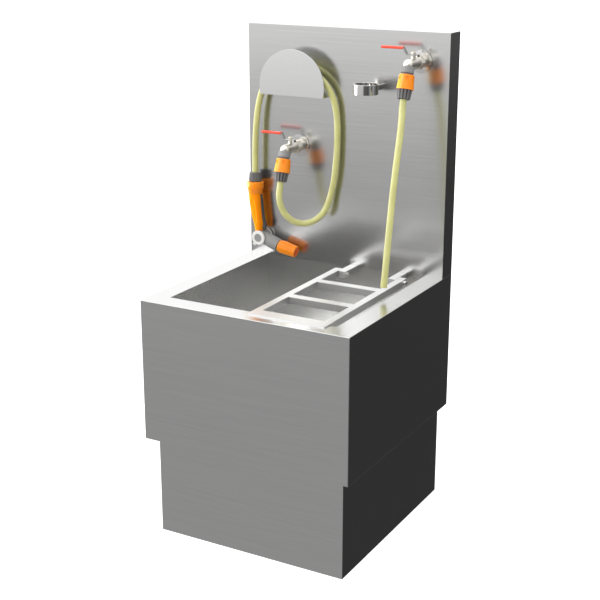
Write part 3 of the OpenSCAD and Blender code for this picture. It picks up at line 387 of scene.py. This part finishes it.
def moulded(name, shade, rough, coat=0.0, speckle=0.06, lit=None, **extra):
    """Moulded plastic with a fine spark-eroded grain and slow flow marks.

    With lit, faces that look to the left, towards the lamp, take that colour: a painted highlight on the
    lit side.
    """
    made, f = new_material(name)
    place = f.object_place()
    grain = f.noise(place, 1600.0, 2.0)
    flow = f.noise(f.stretched(place, (40.0, 40.0, 14.0)), 1.0, 3.0)
    tint = f.mix(flow.above(0.3, 0.4), rgba(shade, 1 - speckle), rgba(shade, 1 + speckle))
    # painted highlight: faces that look to the left are tinted towards the lit colour, for the light that
    # falls on them
    if lit:
        left = (0 - f.parts(f.normal())[0]).above(-0.2, 1.1)
        tint = f.mix(left, tint, rgba(lit))
    f.surface(
        Base_Color=tint,
        Roughness=rough + (flow - 0.5) * 0.14,
        Normal=f.bump(grain, 0.00006, 0.35),
        Coat_Weight=coat,
        **extra,
    )
    return made


def hose_vinyl(name, shade, rough):
    """Clear vinyl over a crossed braid that shows faintly. The piece's UV runs along and round it."""
    made, f = new_material(name)
    uv = f.parts(f.node("ShaderNodeUVMap", {"uv_map": "hose"}))
    along, round_it = uv[0], uv[1]
    left = (along * 38.0 + round_it * 3.0).maths("FRACT")
    right = (along * 38.0 - round_it * 3.0).maths("FRACT")
    braid = abs(left - 0.5).above(0.4, 0.09).maths("MAXIMUM", abs(right - 0.5).above(0.4, 0.09))
    cloud = f.noise(f.object_place(), 30.0, 2.0)
    tint = f.mix(cloud.above(0.3, 0.4), rgba(shade, 0.94), rgba(shade, 1.05))
    pale = tuple(0.72 * part + 0.28 for part in shade)
    f.surface(
        Base_Color=f.mix(braid * 0.16, tint, rgba(pale)),
        Roughness=rough + (cloud - 0.5) * 0.1,
        Normal=f.bump(braid * 0.5 + cloud * 0.3, 0.0001, 0.3),
        Coat_Weight=0.5,
        Subsurface_Weight=0.22,
        Subsurface_Radius=(0.004, 0.004, 0.0015),
        Subsurface_Scale=0.6,
    )
    return made


FINISHES = {}


def make_finishes(c):
    """One material for each of the record's slots, and for the pieces whose finish is their own."""
    FINISHES.update({
        "brushed_steel": brushed("brushed_steel", c.steel, rough=0.21),
        "bowl_steel": brushed("bowl_steel", c.bowl, rough=0.25, streak=0.7),
        "grate_steel": satin("grate_steel", c.bright, rough=0.38),
        "bright_steel": brushed("bright_steel", c.bright, rough=0.27, streak=0.12),
        "polished_steel": satin("polished_steel", c.polished, rough=0.10, grain=500.0, clouds=0.04),
        # the rosettes' rims get a painted dark reflection from this near-black edge colour
        "rosette_steel_painted_dark_rim": satin("rosette_steel_painted_dark_rim", c.polished, rough=0.16, grain=500.0, clouds=0.04,
                               edge=(0.04, 0.04, 0.04)),
        "nickel": satin("nickel", c.nickel, rough=0.34),
        "lever_steel": satin("lever_steel", (0.40, 0.40, 0.39), rough=0.34),
        "zinc": satin("zinc", (0.48, 0.48, 0.48), rough=0.3),
        "brass": satin("brass", (0.72, 0.53, 0.24), rough=0.25),
        "copper": satin("copper", (0.74, 0.4, 0.25), rough=0.3),
        "white_plastic": moulded("white_plastic", c.white, rough=0.34, coat=0.1, speckle=0.03),
        "black_rubber": moulded("black_rubber", (0.03, 0.03, 0.03), rough=0.6),
        "red_vinyl": moulded("red_vinyl", c.red, rough=0.35, coat=0.08),
        # both orange finishes carry a painted highlight on their left, lamp-facing faces
        "orange_plastic": moulded("orange_plastic", c.orange, rough=0.42, speckle=0.03, lit=c.painted_lit_orange,
                                  Specular_IOR_Level=0.1),
        "glossy_orange_painted_lit": moulded("glossy_orange_painted_lit", c.orange, rough=0.18, coat=0.3, speckle=0.03,
                                 lit=c.painted_lit_orange, Specular_IOR_Level=0.35),
        "red_orange_plastic": moulded("red_orange_plastic", c.face, rough=0.35, coat=0.1),
        "light_grey_plastic": moulded("light_grey_plastic", c.pale, rough=0.42),
        "grey_plastic": moulded("grey_plastic", c.grey, rough=0.42),
        "dark_grey_plastic": moulded("dark_grey_plastic", c.dark, rough=0.40),
        "black_plastic": moulded("black_plastic", (0.03, 0.03, 0.03), rough=0.5),
        "trigger_plastic": moulded("trigger_plastic", c.slate, rough=0.45),
        "hose_vinyl": hose_vinyl("hose_vinyl", c.hose, rough=0.3),
    })


# Mesh work, in metres and in the part's own frame
def keep(mesh, name, slot, body, *replaced, finish=None):
    """Turns a finished mesh into a piece that rides on a body."""
    piece = bpy.data.objects.new(name, mesh)
    bpy.context.scene.collection.objects.link(piece)
    mesh.materials.clear()
    mesh.materials.append(FINISHES[finish or slot])
    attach(piece, body)
    if replaced:
        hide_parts(*replaced)
    return piece


def mesh_of(bm, name, smooth=SMOOTH):
    """Ends a bmesh as a mesh whose faces are smooth up to an angle."""
    mesh = bpy.data.meshes.new(name)
    bm.to_mesh(mesh)
    bm.free()
    mesh.shade_smooth()
    mesh.set_sharp_from_angle(angle=math.radians(smooth))
    return mesh


def outward(bm):
    bmesh.ops.recalc_face_normals(bm, faces=bm.faces[:])
    return bm


def rounded(piece, radius, steps=2, flat=False):
    """Rounds a piece's marked edges, or all its sharp ones where none is marked."""
    marked = "bevel_weight_edge" in piece.data.attributes
    bevel = piece.modifiers.new("rounding", "BEVEL")
    bevel.width, bevel.segments = radius, steps
    bevel.limit_method = "WEIGHT" if marked else "ANGLE"
    bevel.angle_limit = SHARP
    if flat:
        piece.data.shade_flat()
    else:
        piece.modifiers.new("even shading", "WEIGHTED_NORMAL").keep_sharp = True
    return piece


def softened(node, radius, steps=2, which=None, flat=False, finish=None):
    """A welded copy of a CAD node with its sharp edges rounded, in the node's place."""
    bm = bmesh.new()
    bm.from_mesh(frame["nodes"][node].data)
    bmesh.ops.remove_doubles(bm, verts=bm.verts[:], dist=WELD)
    bmesh.ops.dissolve_limit(bm, angle_limit=FLAT, verts=bm.verts[:], edges=bm.edges[:])
    weights = bm.edges.layers.float.new("bevel_weight_edge")
    for edge in bm.edges:
        if len(edge.link_faces) == 2 and edge.calc_face_angle(0) > SHARP:
            middle = (edge.verts[0].co + edge.verts[1].co) / 2
            edge[weights] = 1.0 if which is None or which(middle) else 0.0
    mesh = mesh_of(bm, node + "_dressed")
    piece = keep(mesh, mesh.name, SLOT_OF[node], BODY_OF[node], node, finish=finish)
    return rounded(piece, radius, steps, flat)


def paint(*nodes):
    """Gives CAD nodes their slot's material."""
    for node in nodes:
        mesh = frame["nodes"][node].data
        mesh.materials.clear()
        mesh.materials.append(FINISHES[SLOT_OF[node]])


def curve_point(points, i, t):
    """A point on the smooth curve through points, in the stretch after point i."""
    last = len(points) - 1
    a, b, c, d = (Vector(points[max(0, min(last, i + k))]) for k in (-1, 0, 1, 2))
    slope, bend, twist = c - a, 2 * a - 5 * b + 4 * c - d, 3 * b - a - 3 * c + d
    return 0.5 * (2 * b + slope * t + bend * t * t + twist * t ** 3)


def swept(bm, path, radius, sides, uv=None):
    """A closed tube along path. Its UV runs along it in metres and round it from 0 to 1."""
    end = len(path) - 1
    along = [(path[min(i + 1, end)] - path[max(i - 1, 0)]).normalized() for i in range(len(path))]
    side = along[0].cross(Vector((0, 1, 0.1))).normalized()
    rings, run, at = [], 0.0, [0.0]
    for i, point in enumerate(path):
        side = (side - along[i] * side.dot(along[i])).normalized()
        up = side.cross(along[i])
        angles = [2 * math.pi * k / sides for k in range(sides)]
        rings.append([bm.verts.new(point + radius * (math.cos(a) * side + math.sin(a) * up))
                      for a in angles])
        if i:
            run += (point - path[i - 1]).length
            at.append(run)
    for i in range(end):
        for k in range(sides):
            n = (k + 1) % sides
            face = bm.faces.new((rings[i][k], rings[i][n], rings[i + 1][n], rings[i + 1][k]))
            if uv:
                places = ((at[i], k), (at[i], k + 1), (at[i + 1], k + 1), (at[i + 1], k))
                for loop, (length, turn) in zip(face.loops, places):
                    loop[uv].uv = (length, turn / sides)
    bm.faces.new(rings[0])
    bm.faces.new(reversed(rings[-1]))
    return run


def on_splash(x, y, z):
    return Vector((x, SPLASH_Y + y, RIM_Z + z)) * MM


def connector_frame(tap):
    """Turns a connector's own axis, in metres from its adapter, into the part's frame."""
    start = on_splash(tap[0], -ADAPTER_OUT, tap[1] - ADAPTER_DROP)
    return Matrix.Translation(start) @ Matrix.Rotation(math.pi - LEAN, 4, "X")


def lathe(profile, sides=72, matrix=None):
    """A solid of revolution about Z from a closed outline of (radius, height) in millimetres."""
    bm = bmesh.new()
    rings = []
    for r, z in profile:
        if r == 0:
            rings.append([bm.verts.new((0, 0, z * MM))])
        else:
            rings.append([bm.verts.new((r * MM * math.cos(a), r * MM * math.sin(a), z * MM))
                          for a in (2 * math.pi * k / sides for k in range(sides))])
    for first, second in zip(rings, rings[1:] + rings[:1]):
        if len(first) == len(second) == 1:
            continue
        for k in range(sides):
            n = (k + 1) % sides
            corners = [first[k % len(first)], first[n % len(first)],
                       second[n % len(second)], second[k % len(second)]]
            bm.faces.new(list(dict.fromkeys(corners)))
    outward(bm)
    if matrix:
        bm.transform(matrix)
    return bm


def joined(*parts):
    """One bmesh from several."""
    whole = bmesh.new()
    for part in parts:
        if isinstance(part, bmesh.types.BMesh):
            mesh = bpy.data.meshes.new("part")
            part.to_mesh(mesh)
            part.free()
        else:
            mesh = part
        whole.from_mesh(mesh)
        bpy.data.meshes.remove(mesh)
    return whole


# Geometry Nodes: ribs round an axis
def rib_tree():
    """Bars round an axis: one stands at each corner of a ring and leans with the cone."""
    tree = bpy.data.node_groups.new("ribs_round_axis", "GeometryNodeTree")
    face = tree.interface
    for label, kind, value in (
        ("Count", "NodeSocketInt", 12), ("Radius", "NodeSocketFloat", 0.015),
        ("Length", "NodeSocketFloat", 0.02), ("Width", "NodeSocketFloat", 0.003),
        ("Height", "NodeSocketFloat", 0.001), ("Lean", "NodeSocketFloat", 0.0),
        ("Offset", "NodeSocketFloat", 0.0),
    ):
        face.new_socket(name=label, in_out="INPUT", socket_type=kind).default_value = value
    face.new_socket(name="Material", in_out="INPUT", socket_type="NodeSocketMaterial")
    face.new_socket(name="Geometry", in_out="OUTPUT", socket_type="NodeSocketGeometry")

    def node(kind, settings=None, links=()):
        made = tree.nodes.new(kind)
        for name, value in (settings or {}).items():
            setattr(made, name, value)
        for name, value in dict(links).items():
            if isinstance(value, bpy.types.NodeSocket):
                tree.links.new(value, made.inputs[name])
            else:
                made.inputs[name].default_value = value
        return made

    given = node("NodeGroupInput").outputs
    size = node("ShaderNodeCombineXYZ", links={
        0: given["Height"], 1: given["Width"], 2: given["Length"]})
    bar = node("GeometryNodeMeshCube", links={"Size": size.outputs[0]})
    tilt = node("ShaderNodeCombineXYZ", links={1: given["Lean"]})
    lift = node("ShaderNodeCombineXYZ", links={2: given["Offset"]})
    leaning = node("GeometryNodeTransform", links={
        "Geometry": bar.outputs["Mesh"], "Rotation": tilt.outputs[0], "Translation": lift.outputs[0]})
    ring = node("GeometryNodeMeshCircle", links={"Vertices": given["Count"], "Radius": given["Radius"]})
    place = node("GeometryNodeInputPosition")
    turn = node("FunctionNodeAlignEulerToVector", {"axis": "X"}, {"Vector": place.outputs[0]})
    copies = node("GeometryNodeInstanceOnPoints", links={
        "Points": ring.outputs["Mesh"], "Instance": leaning.outputs[0], "Rotation": turn.outputs[0]})
    real = node("GeometryNodeRealizeInstances", links={0: copies.outputs[0]})
    dressed = node("GeometryNodeSetMaterial", links={
        "Geometry": real.outputs[0], "Material": given["Material"]})
    node("NodeGroupOutput", links={"Geometry": dressed.outputs[0]})
    return tree


def ribs(tree, slot, count, r_start, r_end, start, length, width, height):
    """Ribs on a cone from r_start to r_end, in millimetres, as a plain mesh about Z."""
    holder = bpy.data.objects.new("ribs", bpy.data.meshes.new("ribs"))
    bpy.context.scene.collection.objects.link(holder)
    modifier = holder.modifiers.new("ribs", "NODES")
    modifier.node_group = tree
    lean = math.atan2(r_end - r_start, length)
    values = {
        "Count": count, "Radius": (r_start + r_end) / 2 * MM, "Length": length / math.cos(lean) * MM,
        "Width": width * MM, "Height": 2 * height * MM, "Lean": lean, "Offset": (start + length / 2) * MM,
        "Material": FINISHES[slot],
    }
    for item in tree.interface.items_tree:
        if item.in_out == "INPUT":
            modifier[item.identifier] = values[item.name]
    graph = bpy.context.evaluated_depsgraph_get()
    mesh = bpy.data.meshes.new_from_object(holder.evaluated_get(graph), depsgraph=graph)
    holder.modifiers.clear()
    bpy.data.objects.remove(holder)
    return mesh


# The stage
class SINK_OT_stage(bpy.types.Operator):
    """Set the camera at the photograph's angle, with a pale floor and soft studio light"""
    bl_idname = "sink.stage"
    bl_label = "Stage"

    def execute(self, context):
        light = context.scene.sink_light
        camera = bpy.data.cameras.new("camera")
        camera.lens, camera.sensor_width, camera.clip_end = LENS, SENSOR, FAR
        eye = bpy.data.objects.new("camera", camera)
        eye.location = EYE
        eye.rotation_euler = tuple(math.radians(turn) for turn in EYE_TURN)
        context.scene.collection.objects.link(eye)
        context.scene.camera = eye

        bm = bmesh.new()
        bmesh.ops.create_circle(bm, cap_ends=True, segments=FLOOR_SIDES, radius=FLOOR_R)
        floor = bpy.data.objects.new("floor", mesh_of(bm, "floor"))
        floor.location.z = -FLOOR_DROP
        context.scene.collection.objects.link(floor)
        made, f = new_material("studio_floor")
        seen = f.node("ShaderNodeLightPath")
        lit = f.node("ShaderNodeBsdfDiffuse", inputs={"Color": rgba((FLOOR_SHADE,) * 3)})
        glow = f.node("ShaderNodeEmission", inputs={"Color": (1, 1, 1, 1), "Strength": FLOOR_GLOW})
        both = f.node("ShaderNodeAddShader", inputs=(lit, glow))
        shown = f.node("ShaderNodeMixShader", inputs={0: seen, 1: lit, 2: both})
        f.node("ShaderNodeOutputMaterial", inputs={"Surface": shown})
        floor.data.materials.append(made)
        floor.visible_glossy = False

        world = bpy.data.worlds.new("studio")
        world.use_nodes = True
        context.scene.world = world
        w = Finish(world.node_tree)
        towards = w.node("ShaderNodeTexCoord", output=0)

        def lobe(direction, start, soft):
            unit = Vector(direction).normalized()
            near = w.node("ShaderNodeVectorMath", {"operation": "DOT_PRODUCT"},
                          (towards, tuple(unit)), output=1)
            return near.above(start, soft)

        height = w.parts(towards)[2]
        level = GROUND + height.above(*HORIZON) * (light.sky - GROUND)
        for direction, start, soft, share in DARK_PATCHES:
            level = level * (1 - lobe(direction, start, soft) * share)
        level = level + lobe(*LEFT_PANEL) * light.left
        studio = w.node("ShaderNodeBackground", inputs={"Color": (1, 1, 1, 1), "Strength": level})
        plain = w.node("ShaderNodeBackground", inputs={"Color": (1, 1, 1, 1), "Strength": 1.0})
        seen = w.node("ShaderNodeLightPath")
        shown = w.node("ShaderNodeMixShader", inputs={0: seen, 1: studio, 2: plain})
        w.node("ShaderNodeOutputWorld", inputs={"Surface": shown})

        for name, power, size, place in (
            ("key lamp", light.key, *KEY_LAMP),
            ("top lamp", light.top, *TOP_LAMP),
        ):
            lamp = bpy.data.lights.new(name, "AREA")
            lamp.energy, lamp.size = power, size
            holder = bpy.data.objects.new(name, lamp)
            holder.location = place
            shine = Vector(LAMP_AIM) - Vector(place)
            holder.rotation_euler = shine.to_track_quat("-Z", "Y").to_euler()
            context.scene.collection.objects.link(holder)
        context.scene.view_settings.view_transform = "Standard"
        return {"FINISHED"}


class SINK_OT_finishes(bpy.types.Operator):
    """Make the materials and give each CAD node its own"""
    bl_idname = "sink.finishes"
    bl_label = "Finishes"

    def execute(self, context):
        make_finishes(context.scene.sink_colours)
        paint(*SLOT_OF)
        return {"FINISHED"}


class SINK_OT_hoses(bpy.types.Operator):
    """Lay the two hoses along their routes"""
    bl_idname = "sink.hoses"
    bl_label = "Hoses"

    def execute(self, context):
        sizes = context.scene.sink_sizes
        for name, tap, middle, end, lay in (
            ("gun_hose", LOWER_TAP, GUN_ROUTE, "object", "coiled"),
            ("fill_hose", UPPER_TAP, FILL_ROUTE, "bare", "hanging"),
        ):
            frame_at = connector_frame(tap)
            start = [frame_at @ Vector((0, 0, s * MM)) for s in (CONNECTOR_L, CONNECTOR_L + HOSE_END)]
            route = start + [on_splash(*p) for p in middle]
            last = len(route) - 1
            path = [route[0] + (route[1] - route[0]) * k / END_STEPS for k in range(END_STEPS)]
            path += [curve_point(route, i, k / CURVE_STEPS)
                     for i in range(1, last - 1) for k in range(CURVE_STEPS)]
            path += [route[-2] + (route[-1] - route[-2]) * k / END_STEPS for k in range(END_STEPS + 1)]
            bm = bmesh.new()
            uv = bm.loops.layers.uv.new("hose")
            length = swept(bm, path, sizes.hose_radius, sizes.hose_sides, uv)
            bm.normal_update()
            if bm.calc_volume(signed=True) < 0:
                bmesh.ops.reverse_faces(bm, faces=bm.faces[:])
            piece = keep(mesh_of(bm, name + "_tube"), name + "_tube", "hose_vinyl", "cabinet", name)
        return {"FINISHED"}


class SINK_OT_cabinet(bpy.types.Operator):
    """Round the folds of the cabinet's sheets"""
    bl_idname = "sink.cabinet"
    bl_label = "Cabinet"

    def execute(self, context):
        fold = context.scene.sink_sizes.fold
        top = RIM_Z * MM - NEAR_RIM
        back = SPLASH_Y * MM - NEAR_RIM
        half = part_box("casing_shell")[1].x - NEAR_SIDE
        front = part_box("casing_shell")[0].y + NEAR_SIDE
        softened("casing_shell", fold, 2,
                 lambda m: m.z < top and (abs(m.x) > half or m.y < front), True)
        softened("rim_sheet", fold, 2, lambda m: m.z > top + NEAR_FACE and m.y < back, True)
        softened("bowl", fold, 2, lambda m: m.z < top, True, "bowl_steel")
        softened("plinth_shell", fold, 2, None, True)
        return {"FINISHED"}


class SINK_OT_splash(bpy.types.Operator):
    """Round the folds of the splash panel and its rear cover"""
    bl_idname = "sink.splash"
    bl_label = "Splash panel"

    def execute(self, context):
        fold = context.scene.sink_sizes.fold
        foot = RIM_Z * MM + NEAR_RIM
        softened("splash_panel", fold, 2, lambda m: m.z > foot, True)
        softened("rear_cover", 0.0005, 2, None, True)
        softened("cover_screws", 0.0002, 1)
        return {"FINISHED"}


class SINK_OT_hanger(bpy.types.Operator):
    """Round the edges of the hose hanger and the holder ring"""
    bl_idname = "sink.hanger"
    bl_label = "Hanger and ring"

    def execute(self, context):
        edge = context.scene.sink_sizes.edge
        softened("hanger_plate", edge * 0.4, 1, None, True)
        softened("hanger_saddle", edge * 1.4)
        softened("holder_ring", edge * 1.4)
        return {"FINISHED"}


class SINK_OT_grate(bpy.types.Operator):
    """Round the grate's folds and dress its hinges"""
    bl_idname = "sink.grate"
    bl_label = "Grate"

    def execute(self, context):
        sizes = context.scene.sink_sizes
        softened("grate_frame", sizes.fold * 0.7, 2, None, True, "grate_steel")
        softened("hinge_brackets", sizes.fold * 0.7, 2, None, True, "grate_steel")
        softened("hinge_fasteners", sizes.edge)
        return {"FINISHED"}


class SINK_OT_waste(bpy.types.Operator):
    """Round the waste fitting and its strainer"""
    bl_idname = "sink.waste"
    bl_label = "Waste fitting"

    def execute(self, context):
        edge = context.scene.sink_sizes.edge
        for node in ("waste_flange", "waste_strainer"):
            softened(node, edge)
        return {"FINISHED"}


class SINK_OT_taps(bpy.types.Operator):
    """Dress both taps with their levers"""
    bl_idname = "sink.taps"
    bl_label = "Taps"

    def execute(self, context):
        edge = context.scene.sink_sizes.edge
        for node, radius in (
            ("tap_union_nuts", edge * 1.6), ("tap_gland_nuts", edge),
            ("upper_tap_body", edge), ("lower_tap_body", edge),
            ("upper_lever", edge), ("lower_lever", edge),
            ("upper_lever_nut", edge), ("lower_lever_nut", edge),
        ):
            softened(node, radius)
        softened("tap_rosettes", edge * 0.7, 1, None, False, "rosette_steel_painted_dark_rim")
        for node in ("upper_lever_sleeve", "lower_lever_sleeve"):
            softened(node, edge * 3, 4)
        return {"FINISHED"}


class SINK_OT_connectors(bpy.types.Operator):
    """Dress the hose connectors with their ribbed nuts"""
    bl_idname = "sink.connectors"
    bl_label = "Connectors"

    def execute(self, context):
        sizes = context.scene.sink_sizes
        softened("hose_adapters", sizes.edge)
        for node in ("upper_connector_sleeve", "lower_connector_sleeve"):
            softened(node, sizes.edge * 1.5, 3, finish="glossy_orange_painted_lit")
        tree = rib_tree()
        cores, bars = [], []
        for tap in (UPPER_TAP, LOWER_TAP):
            core = lathe(CONNECTOR_NUT)
            bar = joined(ribs(tree, "dark_grey_plastic", sizes.nut_ribs, *CONNECTOR_RIBS))
            for parts, bm in ((cores, core), (bars, bar)):
                bm.transform(connector_frame(tap))
                parts.append(bm)
        mesh = mesh_of(joined(*cores), "connector_nuts_turned")
        keep(mesh, mesh.name, "dark_grey_plastic", "cabinet", "connector_nuts", finish="black_plastic")
        mesh = mesh_of(joined(*bars), "connector_nuts_ribs")
        rounded(keep(mesh, mesh.name, "dark_grey_plastic", "cabinet"), sizes.edge * 1.3)
        return {"FINISHED"}


class SINK_OT_gun(bpy.types.Operator):
    """Build the spray gun's handle and dress the rest of it"""
    bl_idname = "sink.gun"
    bl_label = "Spray gun"

    def place(self, x, y, z):
        """A point in millimetres from the end of the gun's hose."""
        return on_splash(GUN_AT[0] + x, GUN_AT[1] + y, GUN_AT[2] + z)

    def grip(self):
        """The grip: an oval loft with a long shallow dish on each flank."""
        last = len(HANDLE_SHARES) - 1
        stations = [(i, k / GRIP_STEPS) for i in range(last) for k in range(GRIP_STEPS)]
        stations.append((last - 1, 1.0))
        bm = bmesh.new()
        rings = []
        for i, t in stations:
            middle, half, deep = curve_point([row[1:] for row in HANDLE_SHARES], i, t)
            down = curve_point([(row[0], 0, 0) for row in HANDLE_SHARES], i, t).x
            ring = []
            for k in range(GRIP_SIDES):
                turn = 2 * math.pi * k / GRIP_SIDES
                c, d = math.cos(turn), math.sin(turn)
                x = middle + half * math.copysign(abs(c) ** GRIP_OVAL, c)
                y = deep * math.copysign(abs(d) ** GRIP_OVAL, d)
                across = (x - middle + DISH_ASIDE) / (half * DISH_WIDE)
                along = (down - DISH_DOWN) / DISH_LONG
                inside = max(0.0, min(1.0, DISH_EDGE * (1 - across * across - along * along)))
                dish = DISH_DEPTH * inside * inside * (3 - 2 * inside) * (abs(d) > DISH_FLANK)
                point = self.place(GRIP_WIDTH * x, GRIP_DEPTH * (y - math.copysign(dish, d)),
                                   -HANDLE_TOP - HANDLE_L * down)
                ring.append(bm.verts.new(point))
            rings.append(ring)
        for first, second in zip(rings, rings[1:]):
            for k in range(GRIP_SIDES):
                n = (k + 1) % GRIP_SIDES
                bm.faces.new((first[k], first[n], second[n], second[k]))
        bm.faces.new(rings[0])
        bm.faces.new(reversed(rings[-1]))
        return outward(bm)

    def prism(self, outline, width):
        """A cutter through the gun's middle from an outline of (x, z)."""
        bm = bmesh.new()
        near, far = ([bm.verts.new(self.place(x, side * width / 2, z)) for x, z in outline]
                     for side in (-1, 1))
        bm.faces.new(near)
        bm.faces.new(reversed(far))
        for k in range(len(outline)):
            n = (k + 1) % len(outline)
            bm.faces.new((near[n], near[k], far[k], far[n]))
        return outward(bm)

    def cut(self, bm, *cutters):
        """The mesh of bm without the cutters."""
        graph = bpy.context.evaluated_depsgraph_get
        base = bpy.data.objects.new("grip", mesh_of(bm, "grip"))
        made = [base]
        for cutter in cutters:
            tool = bpy.data.objects.new("cutter", mesh_of(cutter, "cutter"))
            made.append(tool)
            less = base.modifiers.new("less", "BOOLEAN")
            less.operation, less.object, less.solver = "DIFFERENCE", tool, "EXACT"
        for piece in made:
            bpy.context.scene.collection.objects.link(piece)
        mesh = bpy.data.meshes.new_from_object(base.evaluated_get(graph()), depsgraph=graph())
        base.modifiers.clear()
        for piece in made:
            bpy.data.objects.remove(piece)
        mesh.shade_smooth()
        mesh.set_sharp_from_angle(angle=math.radians(SMOOTH))
        return mesh

    def execute(self, context):
        sizes = context.scene.sink_sizes
        for node, radius in (
            ("gun_trigger", sizes.edge * 2.5), ("gun_barrel", sizes.edge), ("gun_dial", sizes.edge),
            ("nozzle_face", sizes.edge * 0.6),
        ):
            softened(node, radius)

        edge = [(GRIP_WIDTH * x, -HANDLE_TOP - HANDLE_L * down) for x, down in TRIGGER_SHARES]
        slot = [(x + GRIP_WIDTH, z) for x, z in edge] + [(x - SLOT_DEPTH, z) for x, z in reversed(edge)]
        rod = [(0, -SHAFT_HALF), (SHAFT_R, -SHAFT_HALF), (SHAFT_R, SHAFT_HALF), (0, SHAFT_HALF)]
        head = Matrix.Translation(self.place(HEAD[0], 0, HEAD[1])) @ Matrix.Rotation(math.pi / 2, 4, "X")
        shaft = lathe(rod, FINE_SIDES, head)
        grip = self.cut(self.grip(), self.prism(slot, TRIGGER_SLOT), shaft)
        grip.name = "gun_handle_grip"
        keep(grip, grip.name, "orange_plastic", "cabinet", "gun_handle")

        tree = rib_tree()
        foot = Matrix.Translation(self.place(0, 0, 0))
        nut = joined(lathe(GUN_NUT), ribs(tree, "dark_grey_plastic", sizes.nut_ribs, *GUN_NUT_RIBS))
        nut.transform(foot)
        mesh = mesh_of(nut, "gun_nut_ribbed")
        rounded(keep(mesh, mesh.name, "dark_grey_plastic", "cabinet", "gun_nut"), sizes.edge)
        mesh = mesh_of(lathe(GUN_COLLAR, FINE_SIDES, foot), "gun_collar_turned", SMOOTH + 10)
        keep(mesh, mesh.name, "orange_plastic", "cabinet", "gun_collar", finish="glossy_orange_painted_lit")
        # thin raised dashes coloured darker red-orange: painted shade of the collar's small notches
        notch_shades = joined(ribs(tree, "red_orange_plastic", NOTCH_SHADE_COUNT, *COLLAR_NOTCH_SHADES))
        notch_shades.transform(foot)
        mesh = mesh_of(notch_shades, "gun_collar_notch_shades")
        keep(mesh, mesh.name, "red_orange_plastic", "cabinet")

        mouth = self.place(HEAD[0] + BARREL_L * math.cos(BARREL_SLOPE), 0,
                           HEAD[1] - BARREL_L * math.sin(BARREL_SLOPE))
        turned = Matrix.Translation(mouth) @ Matrix.Rotation(NOZZLE_TURN, 4, "Y")
        aim = turned @ Matrix.Translation((0, 0, NOZZLE_START * MM))
        nozzle = joined(lathe(GUN_NOZZLE, FINE_SIDES),
                        ribs(tree, "orange_plastic", sizes.nozzle_ribs, *NOZZLE_RIBS))
        nozzle.transform(aim)
        mesh = mesh_of(nozzle, "gun_nozzle_ribbed")
        piece = keep(mesh, mesh.name, "orange_plastic", "nozzle", "gun_nozzle", finish="glossy_orange_painted_lit")
        rounded(piece, sizes.edge * 0.6)
        # dark grey patches near the nozzle's start: painted shade of its small holes
        hole_shades = joined(ribs(tree, "dark_grey_plastic", HOLE_SHADE_COUNT, *NOZZLE_HOLE_SHADES))
        hole_shades.transform(aim)
        mesh = mesh_of(hole_shades, "gun_nozzle_hole_shades")
        keep(mesh, mesh.name, "dark_grey_plastic", "nozzle")
        return {"FINISHED"}


class SINK_PT_panel(bpy.types.Panel):
    bl_label = "Waste disposal sink"
    bl_idname = "SINK_PT_panel"
    bl_space_type = "VIEW_3D"
    bl_region_type = "UI"
    bl_category = "Sink"

    def draw(self, context):
        for group in (context.scene.sink_sizes, context.scene.sink_colours, context.scene.sink_light):
            box = self.layout.box()
            for name in group.__annotations__:
                box.prop(group, name)
        for kind in STEPS:
            self.layout.operator(kind.bl_idname)


STEPS = (SINK_OT_stage, SINK_OT_finishes, SINK_OT_hoses, SINK_OT_cabinet, SINK_OT_splash, SINK_OT_hanger,
         SINK_OT_grate, SINK_OT_waste, SINK_OT_taps, SINK_OT_connectors, SINK_OT_gun)
CLASSES = (SinkSizes, SinkColours, SinkLight, *STEPS, SINK_PT_panel)


def register():
    for kind in CLASSES:
        bpy.utils.register_class(kind)
    bpy.types.Scene.sink_sizes = PointerProperty(type=SinkSizes)
    bpy.types.Scene.sink_colours = PointerProperty(type=SinkColours)
    bpy.types.Scene.sink_light = PointerProperty(type=SinkLight)


def unregister():
    del bpy.types.Scene.sink_sizes, bpy.types.Scene.sink_colours, bpy.types.Scene.sink_light
    for kind in reversed(CLASSES):
        bpy.utils.unregister_class(kind)


def main():
    register()
    bpy.ops.sink.stage()
    bpy.ops.sink.finishes()
    bpy.ops.sink.hoses()
    bpy.ops.sink.cabinet()
    bpy.ops.sink.splash()
    bpy.ops.sink.hanger()
    bpy.ops.sink.grate()
    bpy.ops.sink.waste()
    bpy.ops.sink.taps()
    bpy.ops.sink.connectors()
    bpy.ops.sink.gun()
    bpy.context.view_layer.update()


if __name__ == "__main__":
    main()
